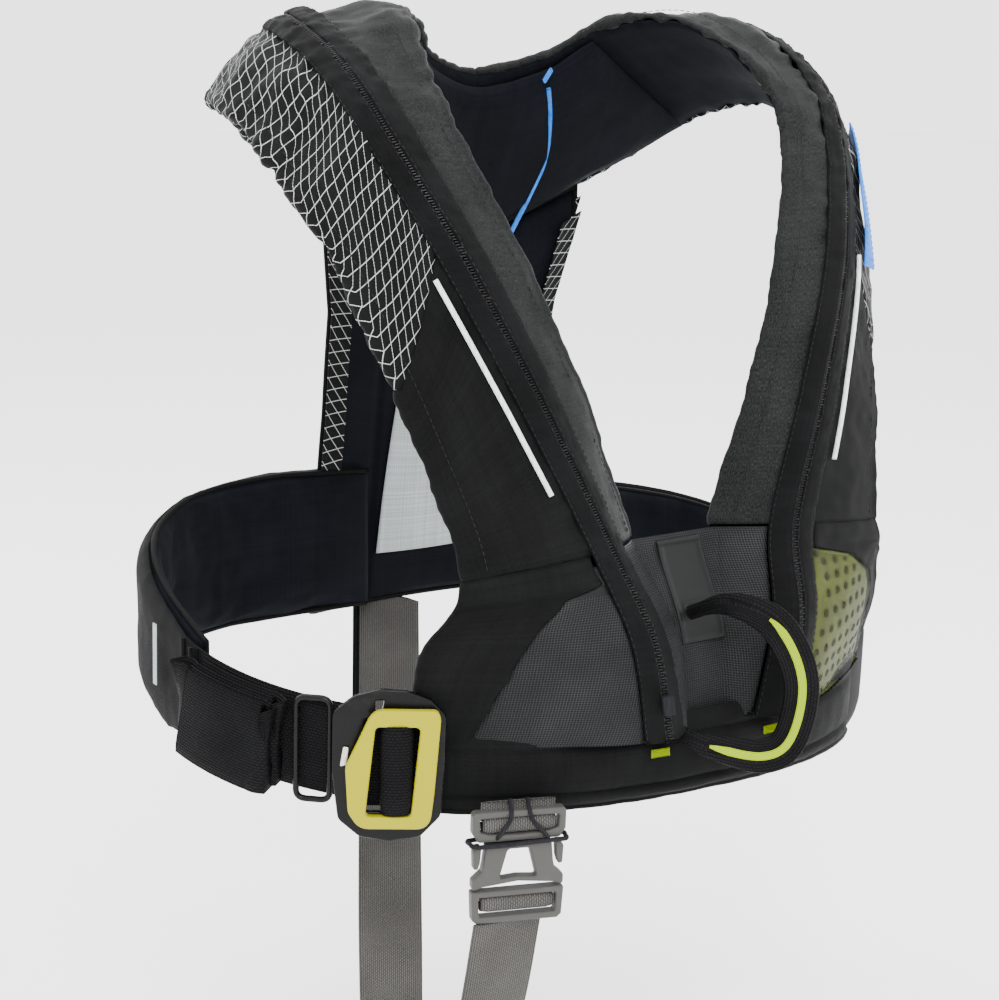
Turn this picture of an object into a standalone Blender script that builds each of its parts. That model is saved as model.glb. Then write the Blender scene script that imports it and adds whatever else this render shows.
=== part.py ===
"""Inflatable life jacket: a horseshoe of zipped cover round a bladder, a back pad, a waist
belt with a two-plate buckle, a soft chest loop and one crotch strap with a release buckle.

The origin is the middle of the wearer's shoulder line, on which the jacket hangs.
+X is the wearer's left, -Y is the front and +Z is up. Lengths are in metres.
"""
import math

import bmesh
import bpy
from mathutils import Matrix, Vector

MM = 0.001

# Overall sizes
CHEST_WIDTH = 440 * MM  # across the waist belt, side to side
CHEST_DEPTH = 300 * MM  # from the front of the chest to the back pad
VEST_HEIGHT = 370 * MM  # from the shoulders to the bottom edge
CROTCH_DROP = 215 * MM  # from the bottom edge to the bottom of the crotch strap

# Horseshoe: liner against the body, bladder, and a zipped cover
LINER = 3 * MM
COVER = 2 * MM
ROLLED_EDGE = 7 * MM  # whole thickness at the neck and arm edges
BLADDER_CLEARANCE = 1.5 * MM
BLADDER_INSET = 0.14  # share of the width left free at each edge
ZIP_BAND_WIDTH = 26 * MM
ZIP_BAND_PROUD = 1.2 * MM
SEAM = 0.6 * MM  # gap between two panels that are sewn to each other
FIT = 0.4 * MM  # gap between two pieces that lie on each other
ARM_SIDE_ROUND = 1.8
NECK_SIDE_ROUND = 0.8

# Back pad, reflective patch and blue trim
BACK_PAD = 8 * MM
BACK_PAD_BULGE = 8 * MM
TRIM_RADIUS = 1.4 * MM
PATCH = 1.0 * MM

# Lower front band
BAND_INNER = 4 * MM
BAND_OUTER = 26 * MM
BAND_GAP = 2.3 * MM  # left between the band and the covers above it
BAND_HEIGHT = 0.09 * VEST_HEIGHT - BAND_GAP  # it fills the room below the covers
TACK_SHARE = 0.83  # of the band's height at which the bar tacks sit
BAND_HALF_ANGLE = 39  # degrees of the waist ring each side of the front
BAND_END_SHARE = 0.35  # how much of its thickness is left at its ends

# Waist belt
BELT_WIDTH = 47 * MM
WEBBING = 2 * MM
BELT_RISE = 0.24  # how much the belt climbs towards the back, per length
BELT_LEFT_SAG = 22 * MM  # the wearer's left side of the belt hangs lower
BELT_BACK_SQUARENESS = 3.2
BELT_FRONT_SQUARENESS = 2.0
BELT_PAD = 9 * MM
BELT_PAD_BELOW = 39 * MM
BELT_PAD_ABOVE = 40 * MM
SLEEVE = 1.5 * MM
TAIL_FOLD = 9 * MM

# Waist buckle
PLATE_WIDTH = 46 * MM
PLATE_BORDER = 6.2 * MM
PLATE_THICKNESS = 5 * MM
PLATE_CORNER = 6 * MM
SLOT_CLEARANCE = 0.8 * MM
SLOT_WIDTH = 23 * MM
FRAME_WIDTH = 55 * MM
FRAME_BORDER = 7.5 * MM
FRAME_THICKNESS = 4 * MM
FRAME_STANDOFF = 13 * MM
PIN_RADIUS = 2.5 * MM

# Crotch strap and its buckle
CROTCH_WIDTH = 38 * MM
CROTCH_BORDER = 4 * MM
CROTCH_BUCKLE = 7 * MM  # its thickness
SOCKET_HEIGHT = 16 * MM
TONGUE_HEIGHT = 24 * MM
LADDER_HEIGHT = 17 * MM
BAR = 4 * MM

# Chest loop
LOOP_WIDTH = 17 * MM
LOOP_END_WIDTH = 7 * MM
LOOP_THICKNESS = 3.4 * MM
STRIPE_WIDTH = 6 * MM

# Bar tacks below the zips
TACK = 1.5 * MM
TACK_LENGTH = 10 * MM
TACK_HEIGHT = 5 * MM
TACK_ANGLE = 9

# Inflation gear and zip sliders
INFLATOR_RADIUS = 9.5 * MM
INFLATOR_LENGTH = 24 * MM
CYLINDER_RADIUS = 8 * MM
CYLINDER_LENGTH = 42 * MM
LEVER_RADIUS = 2 * MM
LEVER_LENGTH = 30 * MM
TUBE_RADIUS = 5.5 * MM
TUBE_LENGTH = 48 * MM
TUBE_CAP = 9 * MM
TUBE_CAP_RIM = 1 * MM
WHISTLE_RADIUS = 3.5 * MM
WHISTLE_LENGTH = 34 * MM
SLIDER_WIDTH = 6 * MM
SLIDER_THICKNESS = 2.5 * MM
SLIDER_STATIONS = (0.42, 0.6)

# Angles round the waist ring, in degrees
BUCKLE_ANGLE = -134.5
SLIDE_ANGLE = -122.5
TAIL_START, TAIL_END = -92, -116
BELT_START, BELT_END = 132, -128
PAD_START, PAD_END = 24, 80
BELT_STEP = 4  # between the rows that every layer of the belt shares
CROTCH_BUCKLE_ANGLE = -151  # the way the release buckle faces

BUCKLE_RISE = 3.5 * MM  # of the waist buckle above the belt's middle
LOWER_PANEL_SPLIT = 0.62  # where the lower corner takes over from the net or the window
PATCH_HALF_WIDTH = 12 * MM
PATCH_STATIONS = (0.85, 1, 1.5, 1.93)
BACK_TOP_REACH = 0.75  # how far from the spine the back pad's top edge reaches, in stations
BACK_WIDTHS = (85, 74, 72, 73, 76)  # half widths of the back pad, top to bottom, per 220 mm
COLLAR_REACH = 1.75  # how far from the spine the collar pad reaches, in stations

# Route of the chest loop, in hundredths
LOOP_ROUTE = ((-4, -106, 75.5), (-1, -121, 73), (5, -135, 75), (10, -141, 82.5),
              (11, -136, 91.5), (5, -132, 94), (-7.5, -125.5, 92))

# The horseshoe's stations, from the front bottom edge (0) to the spine (9): a place on
# the neck edge, a place on the arm edge, how high the cover stands, and the share of the
# width at which the zip runs. Places are in hundredths, as the function place() reads them.
STATIONS = (
    ((4, -107, 90), (67, -76, 91), 32, 0.14),
    ((6, -100, 78), (67, -84, 78), 37, 0.21),
    ((13, -84, 66), (61, -91, 68), 30, 0.32),
    ((25.5, -80, 47), (67, -76, 50), 24, 0.35),
    ((38.5, -69, 27.5), (75.5, -51, 30), 24, 0.38),
    ((49, -45, 9), (82.5, -19, 15.5), 24, 0.38),
    ((43, -9, -1.5), (82.5, 11, 10.5), 25, 0.50),
    ((29, 16, -1), (72, 33, 12), 26, 0.56),
    ((17, 32, 4), (47, 51, 21.5), 26, 0.50),
    ((0, 39, 6.5), (0, 63, 33), 25, 0.50),
)
SPINE = len(STATIONS) - 1
WAIST = Vector((0, -10.7, 86))  # centre of the belt's ring, in hundredths

# Rows that every layer of the horseshoe shares, closer where it twists over the shoulders
ROWS = [k / 2 for k in range(2 * SPINE - 4)] + [SPINE - k / 4 for k in range(8, -1, -1)]

RIGHT, LEFT = -1, 1


def place(x, y, z):
    """A point given in hundredths of the half width, the half depth and the height."""
    return Vector((x * CHEST_WIDTH / 200, y * CHEST_DEPTH / 200, -z * VEST_HEIGHT / 100))


# ---------------------------------------------------------------- materials and objects

def make_collection(name):
    found = bpy.data.collections.new(name)
    bpy.context.scene.collection.children.link(found)
    return found


def material(name, colour, roughness, metallic=0.0):
    mat = bpy.data.materials.new(name)
    mat.use_nodes = True
    shader = mat.node_tree.nodes["Principled BSDF"]
    shader.inputs["Base Color"].default_value = (*colour, 1)
    shader.inputs["Roughness"].default_value = roughness
    shader.inputs["Metallic"].default_value = metallic
    mat.diffuse_color = (*colour, 1)
    return mat


def keep(obj, name, mat, collection=None):
    """Name an object, give it its material and put it in the jacket's collection."""
    obj.name = name
    obj.data.name = name
    obj.data.materials.clear()
    obj.data.materials.append(mat)
    for owner in list(obj.users_collection):
        owner.objects.unlink(obj)
    (collection or JACKET).objects.link(obj)
    return obj


def slab(name, inner, outer, mat, turn=None):
    """A closed sheet between two grids of points with the same rows and columns.

    Its squares are halved along one diagonal, and along the other from row turn on, so
    that a mirrored half bends as the first half does."""
    bm = bmesh.new()
    low = [[bm.verts.new(p) for p in row] for row in inner]
    high = [[bm.verts.new(p) for p in row] for row in outer]
    rows, columns = len(low), len(low[0])
    turn = rows if turn is None else turn
    for i in range(rows - 1):
        for j in range(columns - 1):
            for grid in (low, high):
                a, b = grid[i][j], grid[i][j + 1]
                c, d = grid[i + 1][j + 1], grid[i + 1][j]
                for corners in ((a, b, c), (a, c, d)) if i < turn else ((a, b, d), (b, c, d)):
                    bm.faces.new(corners)
        for j in (0, columns - 1):
            bm.faces.new((low[i][j], high[i][j], high[i + 1][j], low[i + 1][j]))
    for j in range(columns - 1):
        for i in (0, rows - 1):
            bm.faces.new((low[i][j], high[i][j], high[i][j + 1], low[i][j + 1]))
    bmesh.ops.recalc_face_normals(bm, faces=bm.faces)
    mesh = bpy.data.meshes.new(name)
    bm.to_mesh(mesh)
    bm.free()
    return keep(bpy.data.objects.new(name, mesh), name, mat)


def rounded_box(name, size, corner, mat, parent, at, turn=0.0, collection=None):
    """A plate of size (x, y, z) under a parent, its outline rounded in the x-z plane."""
    bpy.ops.mesh.primitive_cube_add(size=1)
    obj = keep(bpy.context.object, name, mat, collection)
    for vertex in obj.data.vertices:
        vertex.co = Vector(vertex.co[k] * size[k] for k in range(3))
    if corner:
        bm = bmesh.new()
        bm.from_mesh(obj.data)
        uprights = [e for e in bm.edges if abs(e.verts[0].co.y - e.verts[1].co.y) > size[1] / 2]
        bmesh.ops.bevel(bm, geom=uprights, offset=corner, segments=3, profile=0.5,
                        affect="EDGES")
        bm.to_mesh(obj.data)
        bm.free()
    obj.parent = parent
    obj.location = at
    obj.rotation_euler = (0, turn, 0)
    return obj


def cut(obj, cutter):
    """Subtract a cutter, and keep the cutter out of sight in its own collection."""
    modifier = obj.modifiers.new("cut " + cutter.name, "BOOLEAN")
    modifier.operation = "DIFFERENCE"
    modifier.object = cutter
    cutter.display_type = "WIRE"
    cutter.hide_render = True


def rod(name, start, end, radius, mat, sides=16):
    """A round bar between two points."""
    start, end = Vector(start), Vector(end)
    bpy.ops.mesh.primitive_cylinder_add(vertices=sides, radius=radius,
                                        depth=(end - start).length)
    obj = keep(bpy.context.object, name, mat)
    obj.data.shade_smooth()
    obj.data.set_sharp_from_angle(angle=math.radians(40))
    obj.rotation_euler = (end - start).to_track_quat("Z", "Y").to_euler()
    obj.location = (start + end) / 2
    return obj


def wire(name, points, radius, mat):
    """A thin round cord or piping through points."""
    curve = bpy.data.curves.new(name, "CURVE")
    curve.dimensions = "3D"
    curve.bevel_depth = radius
    curve.bevel_resolution = 2
    curve.use_fill_caps = True
    spline = curve.splines.new("POLY")
    spline.points.add(len(points) - 1)
    for target, point in zip(spline.points, points):
        target.co = (*point, 1)
    return keep(bpy.data.objects.new(name, curve), name, mat)


def mount_empty(name, at, turn):
    """An empty that hardware is placed under: its -Y faces out from the wearer."""
    empty = bpy.data.objects.new(name, None)
    empty.location = at
    empty.rotation_euler = (0, 0, turn)
    JACKET.objects.link(empty)
    bpy.context.view_layer.update()
    return empty


# ---------------------------------------------------------------- shapes of the jacket

def smooth(before, start, end, after, share):
    """A point on the smooth curve between start and end (Catmull-Rom)."""
    return (start * 2 + (end - before) * share
            + (before * 2 - start * 5 + end * 4 - after) * share ** 2
            + (start * 3 - before - end * 3 + after) * share ** 3) / 2


def station(t):
    """Neck edge, arm edge, height and zip share at t; past the spine it is mirrored."""
    def row(k):
        k = max(k, 0)
        flip = -1 if k > SPINE else 1
        neck, arm, height, share = STATIONS[k if k <= SPINE else 2 * SPINE - k]
        neck, arm = place(*neck), place(*arm)
        neck.x *= flip
        arm.x *= flip
        return neck, arm, Vector((height * MM, share))
    k = min(int(t), SPINE)
    four = [row(k + step) for step in (-1, 0, 1, 2)]
    return [smooth(*(r[part] for r in four), t - k) for part in range(3)]


def horseshoe(side, t, v, out):
    """A point on the horseshoe, v of the way from the neck edge to the arm edge.

    out is the distance from the body side; cover_height() gives the cover's."""
    step = 0.05
    neck, arm, _ = station(t)
    before, after = station(max(t - step, 0)), station(t + step)
    along = (after[0] + after[1]) - (before[0] + before[1])
    across = arm - neck
    normal = across.cross(along).normalized()
    point = neck + across * v + normal * out
    point.x *= side
    return point


def zip_share(t):
    return station(t)[2][1]


def width_at(t):
    neck, arm, _ = station(t)
    return (arm - neck).length


def cover_height(t, v):
    """Height of the cover's outer face above the body side: a roof with its ridge at the zip."""
    height, ridge = station(t)[2]
    if v < ridge:
        share = (v / ridge) ** NECK_SIDE_ROUND
    else:
        share = 1 - ((v - ridge) / (1 - ridge)) ** ARM_SIDE_ROUND
    return ROLLED_EDGE + (height - ROLLED_EDGE) * share


def spread(start, end, count):
    return [start + (end - start) * k / (count - 1) for k in range(count)]


def panel(name, side, stations, start, end, count, mat, thickness=COVER, proud=0.0):
    """A piece of the cover between the shares start(t) and end(t) of the width."""
    inner, outer = [], []
    for t in stations:
        shares = spread(start(t), end(t), count)
        heights = [cover_height(t, v) + proud for v in shares]
        inner.append([horseshoe(side, t, v, h - thickness) for v, h in zip(shares, heights)])
        outer.append([horseshoe(side, t, v, h) for v, h in zip(shares, heights)])
    return slab(name, inner, outer, mat)


def fixed(share):
    return lambda t: share


def band_edge(direction, gap=0.0):
    """The zip band's edge as a share of the width, plus a gap, towards -1 neck or 1 arm."""
    return lambda t: zip_share(t) + direction * (ZIP_BAND_WIDTH / 2 + gap) / width_at(t)


def steps(start, end):
    """Stations from start to end: both ends, and the shared rows between them."""
    return [start, *(t for t in ROWS if start + 0.1 < t < end - 0.1), end]


def mirrored(rows):
    """Rows that end at the spine, carried on over the other shoulder."""
    return [*rows, *(2 * SPINE - t for t in reversed(rows[:-1]))]


def ring(angle, out=0.0, up=0.0):
    """A point on the waist ring; angle 0 is the spine and 90 the wearer's left, in degrees."""
    def plan(degrees):
        sine, cosine = math.sin(math.radians(degrees)), math.cos(math.radians(degrees))
        power = BELT_BACK_SQUARENESS if cosine > 0 else BELT_FRONT_SQUARENESS
        reach = (abs(sine) ** power + abs(cosine) ** power) ** (-1 / power)
        return Vector((sine * reach * CHEST_WIDTH / 2, cosine * reach * CHEST_DEPTH * 0.447, 0))
    along = plan(angle + 1) - plan(angle - 1)
    outward = Vector((-along.y, along.x, 0)).normalized()
    point = place(*WAIST) + plan(angle) + outward * out
    point.z += BELT_RISE * point.y + up
    if angle > 0:
        point.z -= BELT_LEFT_SAG * math.sin(math.radians(angle))
    return point


def ring_turn(angle):
    """The turn about Z that points an empty's -Y outwards at an angle of the ring."""
    outward = ring(angle, 0.01) - ring(angle)
    return math.atan2(outward.x, -outward.y)


def belt_piece(name, start, end, out, up, mat):
    """A band along the waist ring between two angles, offsets and heights."""
    angles = spread(start, end, round(abs(end - start) / BELT_STEP) + 1)
    grids = [[[ring(a, o, u) for u in up] for a in angles] for o in out]
    return slab(name, *grids, mat)


def strap(name, points, across, width, thickness, mat):
    """Flat webbing along points; across is the direction of its width."""
    across = Vector(across).normalized()
    points = [Vector(p) for p in points]
    widths = width if isinstance(width, list) else [width] * len(points)
    inner, outer = [], []
    for k, point in enumerate(points):
        along = points[min(k + 1, len(points) - 1)] - points[max(k - 1, 0)]
        face = across.cross(along).normalized() * thickness / 2
        side = across * widths[k] / 2
        inner.append([point - side - face, point + side - face])
        outer.append([point - side + face, point + side + face])
    return slab(name, inner, outer, mat)


def through(points, count):
    """A smooth line of count pieces per span through hand-chosen points."""
    points = [Vector(p) for p in points]
    ends = [points[0], *points, points[-1]]
    line = []
    for k in range(len(points) - 1):
        line += [smooth(*ends[k:k + 4], s / count) for s in range(count)]
    return [*line, points[-1]]


# ---------------------------------------------------------------- the horseshoe's parts

def build_lining():
    """Liners against the body, and the bladder that lies folded over both of them."""
    almost = SPINE - SEAM / width_at(SPINE - 1)
    for side, word in ((RIGHT, "right"), (LEFT, "left")):
        rows = steps(0, almost)
        grids = [[[horseshoe(side, t, v, out) for v in (0, 0.5, 1)] for t in rows]
                 for out in (0, LINER)]
        slab("liner_" + word, *grids, DARK_LINING)
    half = steps(1.9, SPINE)
    rows = mirrored(half)
    shares = spread(BLADDER_INSET, 1 - BLADDER_INSET, 4)
    low = LINER + BLADDER_CLEARANCE
    inner = [[bladder_point(t, v, low) for v in shares] for t in rows]
    outer = [[bladder_point(t, v, None) for v in shares] for t in rows]
    slab("bladder", inner, outer, BLADDER_FABRIC, len(half) - 1)


def bladder_point(t, v, out):
    """A point of the bladder; from the spine on it is the mirror image of the left side."""
    side, t = (LEFT, t) if t <= SPINE else (RIGHT, 2 * SPINE - t)
    if out is None:
        out = cover_height(t, v) - COVER - BLADDER_CLEARANCE
    return horseshoe(side, t, v, out)


def build_cover():
    """Cover panels each side of the zip, from the lower front to the spine."""
    almost = SPINE - SEAM / width_at(SPINE - 1)
    neck_end, arm_start = band_edge(-1, SEAM), band_edge(1, SEAM)
    for side, word in ((RIGHT, "right"), (LEFT, "left")):
        panel("cover_neck_side_" + word, side, steps(2.02, almost), fixed(0), neck_end, 3,
              RIPSTOP)
        panel("cover_arm_side_" + word, side, steps(2.02, almost), arm_start, fixed(1), 5,
              BLACK_FABRIC)
        panel("cover_lower_" + word, side, steps(0, 1.98), fixed(LOWER_PANEL_SPLIT), fixed(1), 4,
              BLACK_FABRIC)
        panel("zip_band_" + word, side, steps(0.02, almost), band_edge(-1), band_edge(1), 3,
              BLACK_FABRIC, COVER, ZIP_BAND_PROUD)
    lower = steps(0, 1.98)
    gap = SEAM / width_at(1)
    panel("net_panel_right", RIGHT, lower, arm_start, fixed(LOWER_PANEL_SPLIT - gap), 4, NET)
    panel("window_film", LEFT, lower, arm_start, fixed(LOWER_PANEL_SPLIT - gap), 4, FILM, 0.8 * MM)
    panel("window_backing", LEFT, lower, arm_start, fixed(LOWER_PANEL_SPLIT - gap), 4, WINDOW_FABRIC,
          1 * MM, -2 * MM)


def build_centre_front():
    """The net panel between the two zips, with its rubber patch and the bar tacks."""
    reach = band_edge(-1, SEAM)
    rows = steps(0, 1.98)
    grids = []
    for out in (-COVER, 0):
        grid = []
        for t in rows:
            shares = spread(0, reach(t), 3)
            half = [horseshoe(LEFT, t, v, cover_height(t, v) + out) for v in shares]
            grid.append([Vector((-p.x, p.y, p.z)) for p in reversed(half)] + half)
        grids.append(grid)
    slab("centre_front_panel", *grids, NET)

    grids = []
    for out in (ROLLED_EDGE + 3 * FIT, ROLLED_EDGE + 3 * FIT + 1.6 * MM):
        line = [horseshoe(LEFT, t, 0, out) for t in PATCH_STATIONS]
        grids.append([[Vector((x, p.y, p.z)) for x in (-PATCH_HALF_WIDTH, PATCH_HALF_WIDTH)]
                      for p in line])
    slab("label_patch", *grids, RUBBER)

    for side, word in ((RIGHT, "right"), (LEFT, "left")):
        mount = mount_empty("bar_tack_mount_" + word,
                            ring(180 - side * TACK_ANGLE, BAND_OUTER + FIT + TACK / 2),
                            ring_turn(180 - side * TACK_ANGLE))
        mount.location.z = place(0, 0, 100).z + BAND_HEIGHT * TACK_SHARE
        rounded_box("bar_tack_" + word, (TACK_LENGTH, TACK, TACK_HEIGHT), 2 * MM,
                    YELLOW_THREAD, mount, (0, 0, 0))


def build_trim():
    """Reflective piping in front, blue piping inside the back and the blue side tab."""
    for side, word in ((RIGHT, "right"), (LEFT, "left")):
        line = []
        for t in spread(2.35, 3.9, 8):
            v = band_edge(1, SEAM + TRIM_RADIUS)(t)
            line.append(horseshoe(side, t, v, cover_height(t, v) + TRIM_RADIUS + 3 * FIT))
        wire("reflective_piping_" + word, line, TRIM_RADIUS, REFLECTIVE)
    route = ((8.0, 0.1), (8.12, 0.35), (8.25, 0.6), (8.4, 0.8), (8.5, 0.95))
    depth = -(BACK_PAD + FIT + 2 * TRIM_RADIUS)
    wire("blue_piping", [horseshoe(LEFT, t, v, depth) for t, v in route], TRIM_RADIUS, BLUE)
    panel("blue_tab", LEFT, [4.0, 4.5, 4.85], fixed(0.8), fixed(0.985), 3, BLUE, 1.2 * MM,
          1.2 * MM + 3 * FIT)


def build_back():
    """Collar pad under the horseshoe's back, the back pad below it and its patch."""
    half = steps(SPINE - COLLAR_REACH, SPINE)
    grids = [[[bladder_point(t, v, out) for v in (0.02, 0.5, 0.98)] for t in mirrored(half)]
             for out in (-BACK_PAD - FIT, -FIT)]
    slab("collar_pad", *grids, DARK_LINING, len(half) - 1)
    slab("back_pad", back_grid(0), back_grid(BACK_PAD), DARK_LINING)
    low, high = PATCH + 2 * FIT, 2 * FIT
    shares = ((0.38, 12), (0.6, 22), (0.82, 30))
    patch = [[[back_point(x * MM, down, -out) for x in (-half, 0, half)]
              for down, half in shares] for out in (low, high)]
    slab("reflective_patch", *patch, REFLECTIVE)


def back_grid(out):
    """The back pad's grid of points, out metres from its body side."""
    downs = spread(0, 1, 9)
    return [[back_point(None, down, out, u) for u in spread(-1, 1, 7)] for down in downs]


def back_point(x, down, out, u=None):
    """A point of the back pad, a share down its height, by x or by a share u of its width."""
    k = min(int(down * 4), 3)
    share = down * 4 - k
    half = (BACK_WIDTHS[k] * (1 - share) + BACK_WIDTHS[k + 1] * share) / 220 * CHEST_WIDTH / 2
    half *= 1.02
    if u is None:
        u = x / half
    top = bladder_point(SPINE + BACK_TOP_REACH * u, 1, 0)
    top.z -= 3 * FIT + 4 * MM
    deep = ring(0).y - WEBBING / 2 - 2 * FIT
    y = top.y - FIT + (deep - top.y + FIT) * math.sin(down * math.pi / 2) - BACK_PAD
    y -= BACK_PAD_BULGE * u ** 2 * down
    z = top.z + (place(0, 0, 91).z - top.z) * down
    return Vector((-half * u, y + out, z))


# ---------------------------------------------------------------- belt and waist buckle

def build_lower_band():
    """The padded band along the front bottom edge, rounded outside."""
    bottom = place(0, 0, 100).z
    heights = [bottom + BAND_HEIGHT * share for share in (0, 0.5, 1)]
    bulge = (0.6, 1, 0.9)
    angles = spread(180 - BAND_HALF_ANGLE, 180 + BAND_HALF_ANGLE, 13)
    grids = []
    for full in (False, True):
        grid = []
        for angle in angles:
            row = []
            for z, share in zip(heights, bulge):
                taper = 1 - (1 - BAND_END_SHARE) * (abs(angle - 180) / BAND_HALF_ANGLE) ** 2
                out = BAND_INNER + (BAND_OUTER - BAND_INNER) * share * taper * full
                point = ring(angle, out)
                row.append(Vector((point.x, point.y, z)))
            grid.append(row)
        grids.append(grid)
    slab("lower_band", *grids, BLACK_FABRIC)


def build_belt():
    half = BELT_WIDTH / 2
    web = WEBBING / 2
    belt_piece("belt_webbing", BELT_START, BELT_END, (-web, web), (-half, half),
               BLACK_WEBBING)
    for side, word in ((RIGHT, "right"), (LEFT, "left")):
        up = (-BELT_PAD_BELOW, BELT_PAD_ABOVE if side == RIGHT else BELT_WIDTH / 2 + FIT)
        inside = (-web - FIT - BELT_PAD, -web - FIT)
        belt_piece("belt_pad_" + word, side * PAD_START, side * PAD_END, inside, up,
                   DARK_LINING)
        outside = (web + FIT, web + FIT + SLEEVE)
        belt_piece("belt_sleeve_" + word, side * PAD_START, side * PAD_END, outside, up,
                   BLACK_FABRIC)
    layer = (web + FIT, web + FIT + WEBBING)
    belt_piece("belt_return", TAIL_END - BELT_STEP, BELT_END, layer, (-half, half),
               BLACK_WEBBING)
    fold = (web + FIT, web + FIT + TAIL_FOLD)
    belt_piece("belt_tail_fold", TAIL_START, TAIL_END, fold, (-half, half), BLACK_WEBBING)


def build_belt_slide():
    """The wire frame that the belt is threaded through, which slides along it."""
    out = WEBBING * 1.5 + 3 * FIT + 1.8 * MM
    mount = mount_empty("belt_slide_mount", ring(SLIDE_ANGLE, out), ring_turn(SLIDE_ANGLE))
    opening = BELT_WIDTH + 2 * SLOT_CLEARANCE
    thick = 3 * MM
    slide = rounded_box("belt_slide", (21 * MM, thick, opening + 2 * 4 * MM), 4 * MM,
                        BLACK_METAL, mount, (0, 0, 0))
    cutter = rounded_box("belt_slide_opening", (13 * MM, 3 * thick, opening), 1.5 * MM,
                         BLACK_METAL, mount, (0, 0, 0), collection=CUTTERS)
    cut(slide, cutter)


def build_waist_buckle():
    """The black frame on the belt and the yellow plate that hooks in front of it."""
    mount = mount_empty("waist_buckle_mount",
                        ring(BUCKLE_ANGLE, FRAME_STANDOFF, BUCKLE_RISE),
                        ring_turn(BUCKLE_ANGLE))
    slot_height = BELT_WIDTH + 2 * SLOT_CLEARANCE
    frame_height = slot_height + 4 * FRAME_BORDER
    frame_y = -FRAME_THICKNESS / 2
    frame = rounded_box("buckle_frame", (FRAME_WIDTH, FRAME_THICKNESS, frame_height),
                        12 * MM, BLACK_METAL, mount, (0, frame_y, 0))
    opening = rounded_box("buckle_frame_opening",
                          (FRAME_WIDTH - 2 * FRAME_BORDER - 6 * MM, 3 * FRAME_THICKNESS,
                           slot_height), 3 * MM, BLACK_METAL, mount, (3 * MM, frame_y, 0),
                          collection=CUTTERS)
    cut(frame, opening)

    plate_height = slot_height + 2 * PLATE_BORDER
    plate_y = -FRAME_THICKNESS - 2 * MM - PLATE_THICKNESS / 2
    plate_x = 2 * MM
    plate = rounded_box("buckle_plate", (PLATE_WIDTH, PLATE_THICKNESS, plate_height),
                        PLATE_CORNER, YELLOW_PAINT, mount, (plate_x, plate_y, 0))
    slot_x = plate_x + PLATE_WIDTH / 2 - PLATE_BORDER - SLOT_WIDTH / 2
    slot = rounded_box("buckle_plate_slot", (SLOT_WIDTH, 3 * PLATE_THICKNESS, slot_height),
                       2 * MM, YELLOW_PAINT, mount, (slot_x, plate_y, 0),
                       collection=CUTTERS)
    cut(plate, slot)

    rounded_box("buckle_spring_clip", (4 * MM, 1.2 * MM, 8 * MM), 1 * MM, STEEL, mount,
                (plate_x - PLATE_WIDTH / 2 - 0.5 * MM, -FRAME_THICKNESS - 1 * MM, 5 * MM))

    to_world = mount.matrix_world
    half = BELT_WIDTH / 2
    axis = [to_world @ Vector((slot_x, plate_y + 1 * MM, z)) for z in (-half, half)]
    build_buckle_webbing(to_world, slot_x, plate_y, plate_x)
    rod("buckle_pin", axis[0], axis[1], PIN_RADIUS, BLACK_METAL)
    return mount


def build_buckle_webbing(to_world, slot_x, plate_y, plate_x):
    """Webbing rolled round the pin in the plate's slot, and the strap that holds it."""
    across = to_world.to_3x3() @ Vector((0, 0, 1))
    inner_radius = PIN_RADIUS + 1.5 * FIT + WEBBING / 2
    turn = [math.radians(a) for a in range(-60, 241, 30)]
    roll = [Vector((slot_x + 3.0 * inner_radius / 1.6 * math.cos(a) / 2,
                    plate_y + 1 * MM - inner_radius * math.sin(a), 0)) for a in turn]
    strap("buckle_roll", [to_world @ p for p in roll], across, BELT_WIDTH, WEBBING,
          BLACK_WEBBING)
    edge = plate_x + PLATE_WIDTH / 2
    depth = FIT + WEBBING / 2
    line = [Vector((edge - 18 * MM, depth, 0)), Vector((edge - 4 * MM, depth, 0))]
    strap("buckle_webbing", [to_world @ p for p in line], across, BELT_WIDTH - 2 * MM,
          WEBBING, BLACK_WEBBING)


# ---------------------------------------------------------------- crotch strap and buckle

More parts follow.
